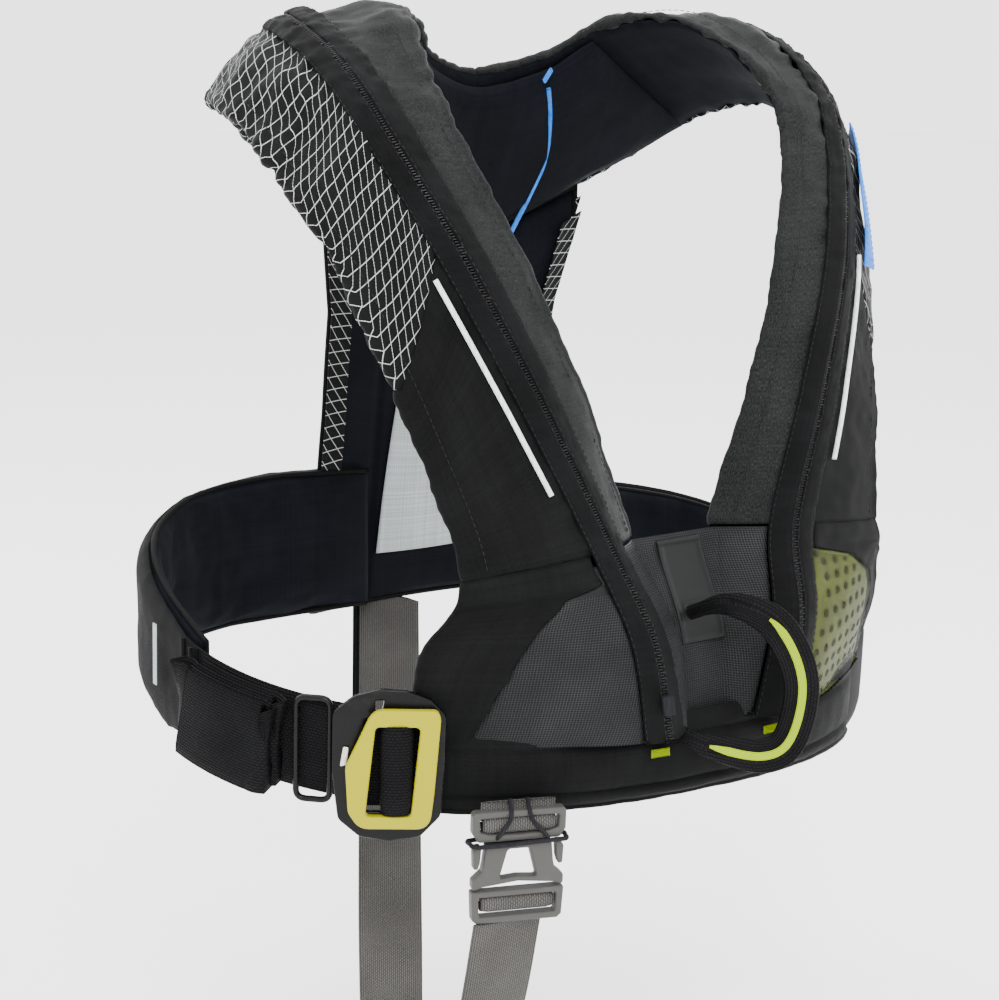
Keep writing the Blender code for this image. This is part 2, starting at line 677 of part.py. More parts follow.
def build_crotch_strap():
    """One loop of webbing from the back pad to the front, with a release buckle."""
    bottom = place(0, 0, 100).z
    mount = mount_empty("crotch_buckle_mount",
                        Vector((place(-52, 0, 0).x, place(0, -108.5, 0).y, bottom)),
                        ring_turn(CROTCH_BUCKLE_ANGLE))
    to_world = mount.matrix_world
    across = to_world.to_3x3() @ Vector((1, 0, 0))
    opening = CROTCH_WIDTH + 2 * SLOT_CLEARANCE
    width = opening + 2 * CROTCH_BORDER
    top = 7 * MM
    socket_z = top - SOCKET_HEIGHT / 2
    socket = rounded_box("crotch_socket", (width, CROTCH_BUCKLE, SOCKET_HEIGHT), 3 * MM,
                         GREY_PLASTIC, mount, (0, 0, socket_z))
    cut(socket, rounded_box("crotch_socket_slot",
                            (opening, 3 * CROTCH_BUCKLE, SOCKET_HEIGHT - 2 * BAR), 1 * MM,
                            GREY_PLASTIC, mount, (0, 0, socket_z), collection=CUTTERS))

    tongue_z = top - SOCKET_HEIGHT - 1 * MM - TONGUE_HEIGHT / 2
    tongue = rounded_box("crotch_tongue", (width - 2 * BAR - 4 * MM, CROTCH_BUCKLE,
                                           TONGUE_HEIGHT), 3 * MM, GREY_PLASTIC, mount,
                         (0, 0, tongue_z))
    cut(tongue, rounded_box("crotch_tongue_gap",
                            (width - 4 * BAR - 6 * MM, 3 * CROTCH_BUCKLE,
                             TONGUE_HEIGHT - 2 * BAR), 2 * MM, GREY_PLASTIC, mount,
                            (0, 0, tongue_z), collection=CUTTERS))
    for side, word in ((RIGHT, "right"), (LEFT, "left")):
        rounded_box("crotch_latch_" + word, (BAR, CROTCH_BUCKLE, TONGUE_HEIGHT - 1 * MM),
                    1.5 * MM, GREY_PLASTIC, mount,
                    (side * (width - BAR) / 2, 0, tongue_z))

    ladder_z = tongue_z - TONGUE_HEIGHT / 2 - 0.5 * MM - LADDER_HEIGHT / 2
    ladder = rounded_box("crotch_ladder", (width, CROTCH_BUCKLE, LADDER_HEIGHT), 3 * MM,
                         GREY_PLASTIC, mount, (0, 0, ladder_z))
    cut(ladder, rounded_box("crotch_ladder_slot",
                            (opening, 3 * CROTCH_BUCKLE, LADDER_HEIGHT - 2 * BAR), 1 * MM,
                            GREY_PLASTIC, mount, (0, 0, ladder_z), collection=CUTTERS))

    hook = CROTCH_BUCKLE / 2 + FIT + WEBBING / 2
    for name, z, height in (("crotch_anchor_roll", socket_z, SOCKET_HEIGHT),
                            ("crotch_strap_roll", ladder_z, LADDER_HEIGHT)):
        ends = [to_world @ Vector((x, 0, z)) for x in (-CROTCH_WIDTH / 2, CROTCH_WIDTH / 2)]
        rod(name, *ends, height / 2 - BAR - SLOT_CLEARANCE / 2, GREY_WEBBING, 12)
    anchor = [(0, hook, socket_z - 3 * MM), (0, hook, socket_z + 4 * MM)]
    strap("crotch_anchor", [to_world @ Vector(p) for p in anchor], across, CROTCH_WIDTH,
          WEBBING, GREY_WEBBING)

    start = to_world @ Vector((-4 * MM, 0, ladder_z - LADDER_HEIGHT / 2 - FIT))
    low = bottom - CROTCH_DROP
    middle = Vector((start.x * 0.93, start.y * 0.45, low))
    back = Vector((-18 * MM, ring(0).y - BACK_PAD / 2, place(0, 0, 91).z - 3 * FIT))
    front_line = [start, Vector((start.x - 1 * MM, start.y + 12 * MM, start.z - 60 * MM)),
                  Vector((start.x + 1 * MM, start.y + 42 * MM, low + 26 * MM)),
                  middle - Vector((0, 1 * MM, 0))]
    rear_line = [middle + Vector((0, 1 * MM, 0)),
                 Vector((middle.x + 2 * MM, middle.y + 28 * MM, low + 24 * MM)),
                 Vector((middle.x + 16 * MM, middle.y + 58 * MM, low + 95 * MM)), back]
    swing = Vector((1, -0.12, 0))
    strap("crotch_strap_front", through(front_line, 4), swing, CROTCH_WIDTH, WEBBING,
          GREY_WEBBING)
    strap("crotch_strap_rear", through(rear_line, 4), swing, CROTCH_WIDTH, WEBBING,
          GREY_WEBBING)


# ---------------------------------------------------------------- chest loop

def build_chest_loop():
    """The soft webbing loop that a tether clips to, with its bright stripe."""
    line = through([place(*p) for p in LOOP_ROUTE], 3)
    last = len(line) - 1
    widths = [LOOP_END_WIDTH + (LOOP_WIDTH - LOOP_END_WIDTH) * math.sin(math.pi * k / last)
              for k in range(last + 1)]
    chord = line[-1] - line[0]
    across = chord.cross(line[last // 2] - line[0])
    strap("chest_loop", line, across, widths, LOOP_THICKNESS, BLACK_WEBBING)
    face = across.normalized()
    proud = LOOP_THICKNESS / 2 + FIT + 0.5 * MM
    raised = []
    for k, point in enumerate(line[3:-3]):
        along = line[k + 4] - line[k + 2]
        raised.append(point + face.cross(along).normalized() * -proud)
    strap("chest_loop_stripe", raised, across, STRIPE_WIDTH, 1 * MM, YELLOW_THREAD)


# ---------------------------------------------------------------- inflation gear

def build_inflation_gear():
    """Cylinder, inflator, oral tube, whistle and zip sliders inside or on the left lobe."""
    low, high = horseshoe(LEFT, 0.25, 0.32, 16 * MM), horseshoe(LEFT, 1.2, 0.36, 14.5 * MM)
    along = (high - low).normalized()
    head = low + along * INFLATOR_LENGTH
    neck = head + along * FIT
    rod("inflator_body", low, head, INFLATOR_RADIUS, YELLOW_PLASTIC)
    rod("gas_cylinder", neck, neck + along * CYLINDER_LENGTH, CYLINDER_RADIUS, STEEL)
    pivot = horseshoe(LEFT, 0.28, 0.5, 13 * MM)
    rod("inflator_lever", pivot, pivot + along * LEVER_LENGTH, LEVER_RADIUS, YELLOW_PLASTIC, 12)

    tube_low = horseshoe(RIGHT, 0.4, 0.45, 15 * MM)
    tube_high = horseshoe(RIGHT, 1.5, 0.45, 15 * MM)
    rise = (tube_high - tube_low).normalized()
    rod("oral_tube", tube_low, tube_low + rise * TUBE_LENGTH, TUBE_RADIUS, BLACK_PLASTIC)
    cap = tube_low + rise * (TUBE_LENGTH + FIT)
    rod("oral_tube_cap", cap, cap + rise * TUBE_CAP, TUBE_RADIUS + TUBE_CAP_RIM, BLACK_PLASTIC)
    whistle = horseshoe(RIGHT, 0.4, 0.66, 15 * MM)
    rod("whistle", whistle, whistle + rise * WHISTLE_LENGTH, WHISTLE_RADIUS, YELLOW_PLASTIC, 12)

    for side, word in ((RIGHT, "right"), (LEFT, "left")):
        lift = ZIP_BAND_PROUD + 3 * FIT
        grids = []
        for out in (lift, lift + SLIDER_THICKNESS):
            rows = []
            for t in SLIDER_STATIONS:
                ridge = zip_share(t)
                edge = SLIDER_WIDTH / 2 / width_at(t)
                rows.append([horseshoe(side, t, v, cover_height(t, ridge) + out)
                             for v in (ridge - edge, ridge + edge)])
            grids.append(rows)
        slab("zip_slider_" + word, *grids, BLACK_METAL)


def clear_scene():
    for obj in list(bpy.data.objects):
        bpy.data.objects.remove(obj, do_unlink=True)


clear_scene()
JACKET = make_collection("inflatable_life_jacket")
CUTTERS = make_collection("cutters")
DARK_LINING = material("dark lining", (0.012, 0.014, 0.022), 0.85)
BLADDER_FABRIC = material("bladder fabric", (0.75, 0.72, 0.05), 0.55)
RIPSTOP = material("ripstop", (0.03, 0.03, 0.032), 0.6)
BLACK_FABRIC = material("black fabric", (0.012, 0.012, 0.013), 0.75)
NET = material("embossed net", (0.05, 0.052, 0.05), 0.55)
FILM = material("clear film", (0.55, 0.6, 0.3), 0.1)
WINDOW_FABRIC = material("window fabric", (0.3, 0.33, 0.04), 0.6)
RUBBER = material("rubber", (0.015, 0.015, 0.015), 0.6)
YELLOW_THREAD = material("yellow thread", (0.75, 0.85, 0.05), 0.6)
REFLECTIVE = material("reflective tape", (0.7, 0.72, 0.72), 0.4)
BLUE = material("blue trim", (0.08, 0.3, 0.75), 0.6)
BLACK_WEBBING = material("black webbing", (0.014, 0.014, 0.015), 0.7)
GREY_WEBBING = material("grey webbing", (0.12, 0.12, 0.11), 0.7)
BLACK_METAL = material("black metal", (0.02, 0.02, 0.02), 0.35, 0.6)
YELLOW_PAINT = material("yellow plate", (0.8, 0.85, 0.03), 0.35)
GREY_PLASTIC = material("grey plastic", (0.1, 0.1, 0.1), 0.45)
YELLOW_PLASTIC = material("yellow plastic", (0.8, 0.7, 0.05), 0.4)
BLACK_PLASTIC = material("black plastic", (0.02, 0.02, 0.02), 0.45)
STEEL = material("steel", (0.6, 0.6, 0.6), 0.3, 1.0)

build_lining()
build_cover()
build_centre_front()
build_trim()
build_back()
build_lower_band()
build_belt()
build_belt_slide()
build_waist_buckle()
build_crotch_strap()
build_chest_loop()
build_inflation_gear()
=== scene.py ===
"""Inflatable life jacket: the sewn covers, pads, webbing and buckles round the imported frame."""
import functools
import math

import bmesh
import bpy
import numpy as np
from mathutils import Matrix, Vector, noise


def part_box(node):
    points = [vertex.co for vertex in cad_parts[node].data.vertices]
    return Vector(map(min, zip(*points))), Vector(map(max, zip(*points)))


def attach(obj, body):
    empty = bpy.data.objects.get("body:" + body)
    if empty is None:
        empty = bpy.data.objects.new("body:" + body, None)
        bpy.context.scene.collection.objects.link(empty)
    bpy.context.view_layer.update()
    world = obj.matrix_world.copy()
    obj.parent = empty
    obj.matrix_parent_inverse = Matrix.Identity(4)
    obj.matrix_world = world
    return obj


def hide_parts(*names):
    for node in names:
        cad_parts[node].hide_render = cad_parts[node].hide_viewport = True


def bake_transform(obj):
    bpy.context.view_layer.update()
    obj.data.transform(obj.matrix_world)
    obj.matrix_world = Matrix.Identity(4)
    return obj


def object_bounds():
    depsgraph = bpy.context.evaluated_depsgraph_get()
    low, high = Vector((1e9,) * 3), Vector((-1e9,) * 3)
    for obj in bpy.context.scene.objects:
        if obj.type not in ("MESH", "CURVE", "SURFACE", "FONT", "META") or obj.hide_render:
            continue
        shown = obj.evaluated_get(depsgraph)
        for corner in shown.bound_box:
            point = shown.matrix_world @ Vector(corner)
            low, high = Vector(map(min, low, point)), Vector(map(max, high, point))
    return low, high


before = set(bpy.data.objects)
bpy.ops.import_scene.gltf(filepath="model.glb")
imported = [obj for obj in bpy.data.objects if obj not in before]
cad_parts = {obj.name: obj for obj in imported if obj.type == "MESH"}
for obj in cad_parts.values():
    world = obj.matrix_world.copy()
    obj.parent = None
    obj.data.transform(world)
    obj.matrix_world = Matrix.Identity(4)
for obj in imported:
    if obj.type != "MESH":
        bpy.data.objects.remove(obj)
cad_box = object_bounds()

MM = 0.001
CHEST_WIDTH, CHEST_DEPTH, VEST_HEIGHT = 440 * MM, 300 * MM, 370 * MM
LINER, COVER, ROLLED_EDGE = 3 * MM, 2 * MM, 7 * MM
ZIP_BAND_WIDTH = 26 * MM
ARM_SIDE_ROUND, NECK_SIDE_ROUND = 1.8, 0.8
BACK_PAD, BACK_PAD_BULGE, FIT = 8 * MM, 8 * MM, 0.4 * MM
BELT_WIDTH, WEBBING, BELT_PAD = 47 * MM, 2 * MM, 9 * MM
BELT_RISE, BELT_LEFT_SAG = 0.24, 22 * MM
BELT_BACK_SQUARENESS, BELT_FRONT_SQUARENESS = 3.2, 2.0
BELT_PAD_BELOW, BELT_PAD_ABOVE = 39 * MM, 40 * MM
BAND_INNER, BAND_OUTER, BAND_HEIGHT, BAND_HALF_ANGLE = 4 * MM, 26 * MM, 31 * MM, 39
BUCKLE_ANGLE, BUCKLE_RISE, FRAME_STANDOFF = -134.5, 3.5 * MM, 13 * MM
SLIDE_ANGLE = -122.5
CROTCH_WIDTH, CROTCH_BUCKLE = 38 * MM, 7 * MM
BACK_TOP_REACH, BACK_WIDTHS = 0.75, (85, 74, 72, 73, 76)
LOOP_ROUTE = ((-4, -106, 75.5), (-1, -121, 73), (5, -135, 75), (10, -141, 82.5), (11, -136, 91.5),
              (5, -132, 94), (-7.5, -125.5, 92), (-11, -116, 91))
LOOP_FACE = np.array((-0.55, -0.80, 0.24))  # the way its flat side looks
STATIONS = (
    ((4, -107, 90), (67, -76, 91), 32, 0.14),
    ((6, -100, 78), (67, -84, 78), 37, 0.21),
    ((13, -84, 66), (61, -91, 68), 30, 0.32),
    ((25.5, -80, 47), (67, -76, 50), 24, 0.35),
    ((38.5, -69, 27.5), (75.5, -51, 30), 24, 0.38),
    ((49, -45, 9), (82.5, -19, 15.5), 24, 0.38),
    ((43, -9, -1.5), (82.5, 11, 10.5), 25, 0.50),
    ((29, 16, -1), (72, 33, 12), 26, 0.56),
    ((17, 32, 4), (47, 51, 21.5), 26, 0.50),
    ((0, 39, 6.5), (0, 63, 33), 25, 0.50),
)
SPINE = len(STATIONS) - 1
WAIST = (0, -10.7, 86)
RIGHT, LEFT = -1, 1


# ------------------------------------------------------------ the jacket's own surfaces

def place(x, y, z):
    return np.array((x * CHEST_WIDTH / 200, y * CHEST_DEPTH / 200, -z * VEST_HEIGHT / 100))


def station_row(k):
    flip = -1 if k > SPINE else 1
    neck, arm, height, share = STATIONS[max(k, 0) if k <= SPINE else 2 * SPINE - k]
    mirror = np.array((flip, 1, 1))
    return np.concatenate((place(*neck) * mirror, place(*arm) * mirror, (height * MM, share)))


@functools.lru_cache(None)
def station(t):
    k = min(int(t), SPINE)
    s = t - k
    a, b, c, d = (station_row(k + step) for step in (-1, 0, 1, 2))
    return (2 * b + (c - a) * s + (2 * a - 5 * b + 4 * c - d) * s ** 2
            + (3 * b - a - 3 * c + d) * s ** 3) / 2


@functools.lru_cache(None)
def edges(t):
    """Neck edge, direction to the arm edge with its length, and outward normal at t."""
    row, before, after = station(t), station(max(t - 0.05, 0)), station(t + 0.05)
    across = row[3:6] - row[:3]
    along = (after[:3] + after[3:6]) - (before[:3] + before[3:6])
    normal = np.cross(across, along)
    return row[:3], across, normal / np.linalg.norm(normal)


def width_at(t):
    return float(np.linalg.norm(edges(t)[1]))


def zip_share(t):
    return float(station(t)[7])


def band_edge(direction, gap=0.0):
    return lambda t: zip_share(t) + direction * (ZIP_BAND_WIDTH / 2 + gap) / width_at(t)


def fixed(share):
    return lambda t: share


def horseshoe(side, t, v, out):
    neck, across, normal = edges(t)
    return (neck + across * v + normal * out) * np.array((side, 1, 1))


def cover_height(t, v):
    height, ridge = station(t)[6:]
    v = min(max(v, 0), 1)
    if v < ridge:
        share = (v / ridge) ** NECK_SIDE_ROUND
    else:
        share = 1 - ((v - ridge) / (1 - ridge)) ** ARM_SIDE_ROUND
    return ROLLED_EDGE + (height - ROLLED_EDGE) * share


def half_of_back(t, v, out):
    """A point across the whole back: past the spine the jacket is its own mirror image."""
    return horseshoe(LEFT, t, v, out) if t <= SPINE else horseshoe(RIGHT, 2 * SPINE - t, v, out)


def ring(angle, out=0.0, up=0.0):
    def plan(degrees):
        sine, cosine = math.sin(math.radians(degrees)), math.cos(math.radians(degrees))
        power = BELT_BACK_SQUARENESS if cosine > 0 else BELT_FRONT_SQUARENESS
        reach = (abs(sine) ** power + abs(cosine) ** power) ** (-1 / power)
        return np.array((sine * reach * CHEST_WIDTH / 2, cosine * reach * CHEST_DEPTH * 0.447, 0))
    along = plan(angle + 1) - plan(angle - 1)
    outward = np.array((-along[1], along[0], 0)) / np.linalg.norm(along)
    point = place(*WAIST) + plan(angle) + outward * out
    point[2] += BELT_RISE * point[1] + up
    if angle > 0:
        point[2] -= BELT_LEFT_SAG * math.sin(math.radians(angle))
    return point


def ring_turn(angle):
    outward = ring(angle, 0.01) - ring(angle)
    return math.atan2(outward[0], -outward[1])


def mount(at, turn):
    return Matrix.Translation(Vector(at)) @ Matrix.Rotation(turn, 4, "Z")


# ------------------------------------------------------------ shader groups and materials

def node(tree, kind, **settings):
    made = tree.nodes.new(kind)
    for key, value in settings.items():
        setattr(made, key, value)
    return made


def feed(tree, value, socket):
    if isinstance(value, bpy.types.NodeSocket):
        tree.links.new(value, socket)
    else:
        socket.default_value = value


def calc(tree, operation, *values):
    made = node(tree, "ShaderNodeMath", operation=operation)
    for value, socket in zip(values, made.inputs):
        feed(tree, value, socket)
    return made.outputs[0]


def blend_colour(tree, share, first, second, mode="MIX"):
    made = node(tree, "ShaderNodeMix", data_type="RGBA", blend_type=mode)
    for value, socket in zip((share, first, second), (made.inputs[0], made.inputs[6], made.inputs[7])):
        feed(tree, value, socket)
    return made.outputs[2]


def ramp(tree, value, low, high):
    made = node(tree, "ShaderNodeMapRange", clamp=True)
    for item, socket in zip((value, low, high), made.inputs):
        feed(tree, item, socket)
    return made.outputs[0]


def new_group(name, inputs, outputs):
    """An empty shader group; inputs and outputs are (name, kind, default) and (name, kind)."""
    group = bpy.data.node_groups.new(name, "ShaderNodeTree")
    kinds = {"number": "NodeSocketFloat", "colour": "NodeSocketColor", "vector": "NodeSocketVector"}
    for label, kind, default in inputs:
        made = group.interface.new_socket(label, in_out="INPUT", socket_type=kinds[kind])
        if default is not None:
            made.default_value = default
    for label, kind in outputs:
        group.interface.new_socket(label, in_out="OUTPUT", socket_type=kinds[kind])
    return group, node(group, "NodeGroupInput").outputs, node(group, "NodeGroupOutput").inputs


def split(tree, vector):
    made = node(tree, "ShaderNodeSeparateXYZ")
    feed(tree, vector, made.inputs[0])
    return made.outputs


def noise_value(tree, vector, scale, detail=3.0, roughness=0.5):
    made = node(tree, "ShaderNodeTexNoise")
    feed(tree, vector, made.inputs["Vector"])
    feed(tree, scale, made.inputs["Scale"])
    feed(tree, detail, made.inputs["Detail"])
    feed(tree, roughness, made.inputs["Roughness"])
    return made.outputs["Fac"]


def make_thread_group():
    """Plain weave: bumps where the threads cross over, and a random tone for each thread."""
    tree, given, result = new_group(
        "woven threads",
        [("Vector", "vector", None), ("Across", "number", 0.6 * MM), ("Along", "number", 0.6 * MM)],
        [("Height", "number"), ("Tone", "number")])
    x, y, _ = split(tree, given["Vector"])
    waves, tones = [], []
    for value, pitch in ((x, given["Across"]), (y, given["Along"])):
        turns = calc(tree, "DIVIDE", value, pitch)
        waves.append(calc(tree, "SINE", calc(tree, "MULTIPLY", turns, 2 * math.pi)))
        cell = node(tree, "ShaderNodeTexWhiteNoise", noise_dimensions="1D")
        feed(tree, calc(tree, "FLOOR", turns), cell.inputs["W"])
        tones.append(cell.outputs["Value"])
    height = calc(tree, "MULTIPLY_ADD", calc(tree, "MULTIPLY", *waves), 0.5, 0.5)
    feed(tree, height, result["Height"])
    feed(tree, calc(tree, "MULTIPLY", calc(tree, "ADD", *tones), 0.5), result["Tone"])
    return tree


def make_grid_group():
    """Two sets of straight lines, the first slanted, and broken into dots along their length."""
    tree, given, result = new_group(
        "thread grid",
        [("Vector", "vector", None), ("Across", "number", 6 * MM), ("Along", "number", 6 * MM),
         ("Line", "number", 0.5 * MM), ("Slant", "number", 0.0), ("Dot", "number", 1 * MM),
         ("Turn", "number", 0.0)],
        [("Mask", "number")])
    turned = node(tree, "ShaderNodeVectorRotate", rotation_type="Z_AXIS")
    feed(tree, given["Vector"], turned.inputs["Vector"])
    feed(tree, given["Turn"], turned.inputs["Angle"])
    x, y, _ = split(tree, turned.outputs[0])
    slanted = calc(tree, "MULTIPLY_ADD", y, given["Slant"], x)
    masks = []
    for value, other, pitch in ((slanted, y, given["Across"]), (y, x, given["Along"])):
        place_in = calc(tree, "PINGPONG", value, calc(tree, "MULTIPLY", pitch, 0.5))
        line = calc(tree, "LESS_THAN", place_in, calc(tree, "MULTIPLY", given["Line"], 0.5))
        turns = calc(tree, "MULTIPLY", calc(tree, "DIVIDE", other, given["Dot"]), 2 * math.pi)
        dots = ramp(tree, calc(tree, "SINE", turns), -1.0, -0.2)
        masks.append(calc(tree, "MULTIPLY", line, calc(tree, "MULTIPLY_ADD", dots, 0.6, 0.4)))
    feed(tree, calc(tree, "MAXIMUM", *masks), result["Mask"])
    return tree


def make_fading_group():
    """Soft broad patches, finer mottling and specks of lint, for cloth that has been handled."""
    tree, given, result = new_group(
        "cloth fading",
        [("Vector", "vector", None), ("Colour", "colour", (0.02, 0.02, 0.02, 1)),
         ("Worn Colour", "colour", (0.05, 0.05, 0.05, 1)), ("Mottle", "number", 0.4),
         ("Heather", "number", 0.0)],
        [("Color", "colour"), ("Fade", "number")])
    broad = noise_value(tree, given["Vector"], 22.0, 3.0)
    fine = noise_value(tree, given["Vector"], 900.0, 2.0, 0.7)
    stretched = node(tree, "ShaderNodeVectorMath", operation="MULTIPLY")
    feed(tree, given["Vector"], stretched.inputs[0])
    stretched.inputs[1].default_value = (1.0, 0.35, 1.0)
    thread = noise_value(tree, stretched.outputs[0], 1700.0, 1.0)
    fade = calc(tree, "MULTIPLY", ramp(tree, broad, 0.35, 0.75), given["Mottle"])
    fade = calc(tree, "MULTIPLY_ADD", ramp(tree, fine, 0.5, 0.75),
                calc(tree, "MULTIPLY", given["Mottle"], 0.35), fade)
    fade = calc(tree, "MULTIPLY_ADD", ramp(tree, thread, 0.42, 0.62), given["Heather"], fade)
    fade = calc(tree, "MINIMUM", fade, 1.0)
    feed(tree, blend_colour(tree, fade, given["Colour"], given["Worn Colour"]), result["Color"])
    feed(tree, fade, result["Fade"])
    return tree


def make_wear_group():
    """Rubbed spots, hair scratches and moulding grain for hard parts."""
    tree, given, result = new_group(
        "rubbed surface",
        [("Vector", "vector", None), ("Spots", "number", 120.0), ("Grain", "number", 2500.0)],
        [("Rub", "number"), ("Scratch", "number"), ("Height", "number")])
    spots = ramp(tree, noise_value(tree, given["Vector"], given["Spots"], 6.0, 0.7), 0.56, 0.72)
    stretched = node(tree, "ShaderNodeVectorMath", operation="MULTIPLY")
    feed(tree, given["Vector"], stretched.inputs[0])
    stretched.inputs[1].default_value = (60.0, 900.0, 2400.0)
    scratch = ramp(tree, noise_value(tree, stretched.outputs[0], 1.0, 3.0), 0.66, 0.74)
    feed(tree, spots, result["Rub"])
    feed(tree, scratch, result["Scratch"])
    feed(tree, noise_value(tree, given["Vector"], given["Grain"], 2.0), result["Height"])
    return tree


THREADS, GRID = make_thread_group(), make_grid_group()
FADING, WEAR = make_fading_group(), make_wear_group()


def place_group(tree, group, **values):
    made = node(tree, "ShaderNodeGroup")
    made.node_tree = group
    for key, value in values.items():
        feed(tree, value, made.inputs[key.replace("_", " ")])
    return made.outputs


def start_material(name, roughness, **constants):
    made = bpy.data.materials.new(name)
    made.use_nodes = True
    tree = made.node_tree
    shader = tree.nodes["Principled BSDF"]
    shader.inputs["Roughness"].default_value = roughness
    for key, value in constants.items():
        shader.inputs[key.replace("_", " ")].default_value = value
    return made, tree, shader


def coordinates(tree, from_uv):
    if from_uv:
        return node(tree, "ShaderNodeUVMap", uv_map="cloth").outputs[0]
    return node(tree, "ShaderNodeTexCoord").outputs["Object"]


def bump(tree, shader, height, distance, strength=1.0):
    made = node(tree, "ShaderNodeBump")
    made.inputs["Strength"].default_value = strength
    made.inputs["Distance"].default_value = distance
    feed(tree, height, made.inputs["Height"])
    feed(tree, made.outputs[0], shader.inputs["Normal"])


def cloth_material(name, colour, worn, roughness, pitch=(0.6 * MM, 0.6 * MM), depth=0.12 * MM, mottle=0.35,
                   heather=0.0, sheen=0.3, lines=None, line_colour=None, from_uv=True, coat=0.0, shine=0.035):
    """Woven cloth: threads, fading and heather, and a second set of coarser ripstop lines."""
    made, tree, shader = start_material(
        name, roughness, Sheen_Weight=sheen * 0.03, Sheen_Roughness=0.45, Specular_IOR_Level=shine,
        Coat_Weight=coat, Coat_Roughness=0.35)
    vector = coordinates(tree, from_uv)
    threads = place_group(tree, THREADS, Vector=vector, Across=pitch[0], Along=pitch[1])
    fading = place_group(tree, FADING, Vector=vector, Colour=(*colour, 1), Worn_Colour=(*worn, 1),
                         Mottle=mottle, Heather=heather)
    thread_tone_and_shade = calc(tree, "MULTIPLY_ADD", threads["Tone"], 0.5, 0.75)
    # painted shade: the colour darkens in the dips of the weave and lightens on its raised crossings
    thread_tone_and_shade = calc(tree, "MULTIPLY", thread_tone_and_shade, calc(tree, "MULTIPLY_ADD", threads["Height"], 0.35, 0.8))
    tint = node(tree, "ShaderNodeCombineColor")
    for socket in tint.inputs[:3]:
        feed(tree, thread_tone_and_shade, socket)
    tinted = blend_colour(tree, 1.0, fading["Color"], tint.outputs[0], "MULTIPLY")
    height = threads["Height"]
    if lines:
        grid = place_group(tree, GRID, Vector=vector, Across=lines[0], Along=lines[1], Line=lines[2],
                           Slant=lines[3], Dot=lines[4], Turn=lines[5])
        tinted = blend_colour(tree, grid["Mask"], tinted, (*line_colour, 1))
        height = calc(tree, "MULTIPLY_ADD", grid["Mask"], 1.6, height)
    feed(tree, tinted, shader.inputs["Base Color"])
    rough = calc(tree, "MULTIPLY_ADD", fading["Fade"], 0.16, roughness - 0.08)
    feed(tree, calc(tree, "MULTIPLY_ADD", threads["Height"], -0.08, rough), shader.inputs["Roughness"])
    bump(tree, shader, height, depth)
    return made


def webbing_material(name, colour, worn, rib=1.5 * MM, pick=1.9 * MM, roughness=0.6, depth=0.35 * MM):
    """Woven webbing: ribs along the strap, crossed by offset picks."""
    made, tree, shader = start_material(name, roughness, Specular_IOR_Level=0.04)
    vector = coordinates(tree, True)
    x, y, _ = split(tree, vector)
    ribs = calc(tree, "DIVIDE", x, rib)
    shift = calc(tree, "MULTIPLY",
                 calc(tree, "MODULO", calc(tree, "ABSOLUTE", calc(tree, "FLOOR", ribs)), 2.0), 0.5)
    picks = calc(tree, "ADD", calc(tree, "DIVIDE", y, pick), shift)
    round_rib = calc(tree, "ABSOLUTE", calc(tree, "SINE", calc(tree, "MULTIPLY", ribs, math.pi)))
    round_pick = calc(tree, "ABSOLUTE", calc(tree, "SINE", calc(tree, "MULTIPLY", picks, math.pi)))
    height = calc(tree, "MULTIPLY", round_rib, calc(tree, "MULTIPLY_ADD", round_pick, 0.65, 0.35))
    fading = place_group(tree, FADING, Vector=vector, Colour=(*colour, 1), Worn_Colour=(*worn, 1),
                         Mottle=0.45, Heather=0.25)
    # painted shade: the colour darkens in the dips between ribs and picks
    shade = calc(tree, "MULTIPLY_ADD", height, 0.85, 0.4)
    tint = node(tree, "ShaderNodeCombineColor")
    for socket in tint.inputs[:3]:
        feed(tree, shade, socket)
    feed(tree, blend_colour(tree, 1.0, fading["Color"], tint.outputs[0], "MULTIPLY"),
         shader.inputs["Base Color"])
    feed(tree, calc(tree, "MULTIPLY_ADD", height, -0.2, roughness + 0.12), shader.inputs["Roughness"])
    bump(tree, shader, height, depth)
    return made


def net_material(name, colour, worn, pitch=1.5 * MM):
    """Rubbery coated net: a fine raised lattice with small dimples painted darker as shade, shinier on its
    ridges.
    """
    made, tree, shader = start_material(name, 0.45, Specular_IOR_Level=0.08)
    vector = coordinates(tree, True)
    x, y, _ = split(tree, vector)
    waves = [calc(tree, "ABSOLUTE",
                  calc(tree, "SINE", calc(tree, "MULTIPLY", calc(tree, "DIVIDE", value, step), math.pi)))
             for value, step in ((x, pitch), (y, pitch * 0.85))]
    hole = ramp(tree, calc(tree, "MULTIPLY", *waves), 0.25, 0.7)
    fading = place_group(tree, FADING, Vector=vector, Colour=(*colour, 1), Worn_Colour=(*worn, 1),
                         Mottle=0.7, Heather=0.0)
    # painted shade: the dimples are blended towards a near-black colour
    feed(tree, blend_colour(tree, calc(tree, "MULTIPLY", hole, 0.85), fading["Color"],
                            (0.004, 0.004, 0.005, 1)), shader.inputs["Base Color"])
    feed(tree, calc(tree, "MULTIPLY_ADD", hole, 0.35, 0.4), shader.inputs["Roughness"])
    bump(tree, shader, calc(tree, "SUBTRACT", 1.0, hole), 0.35 * MM)
    return made


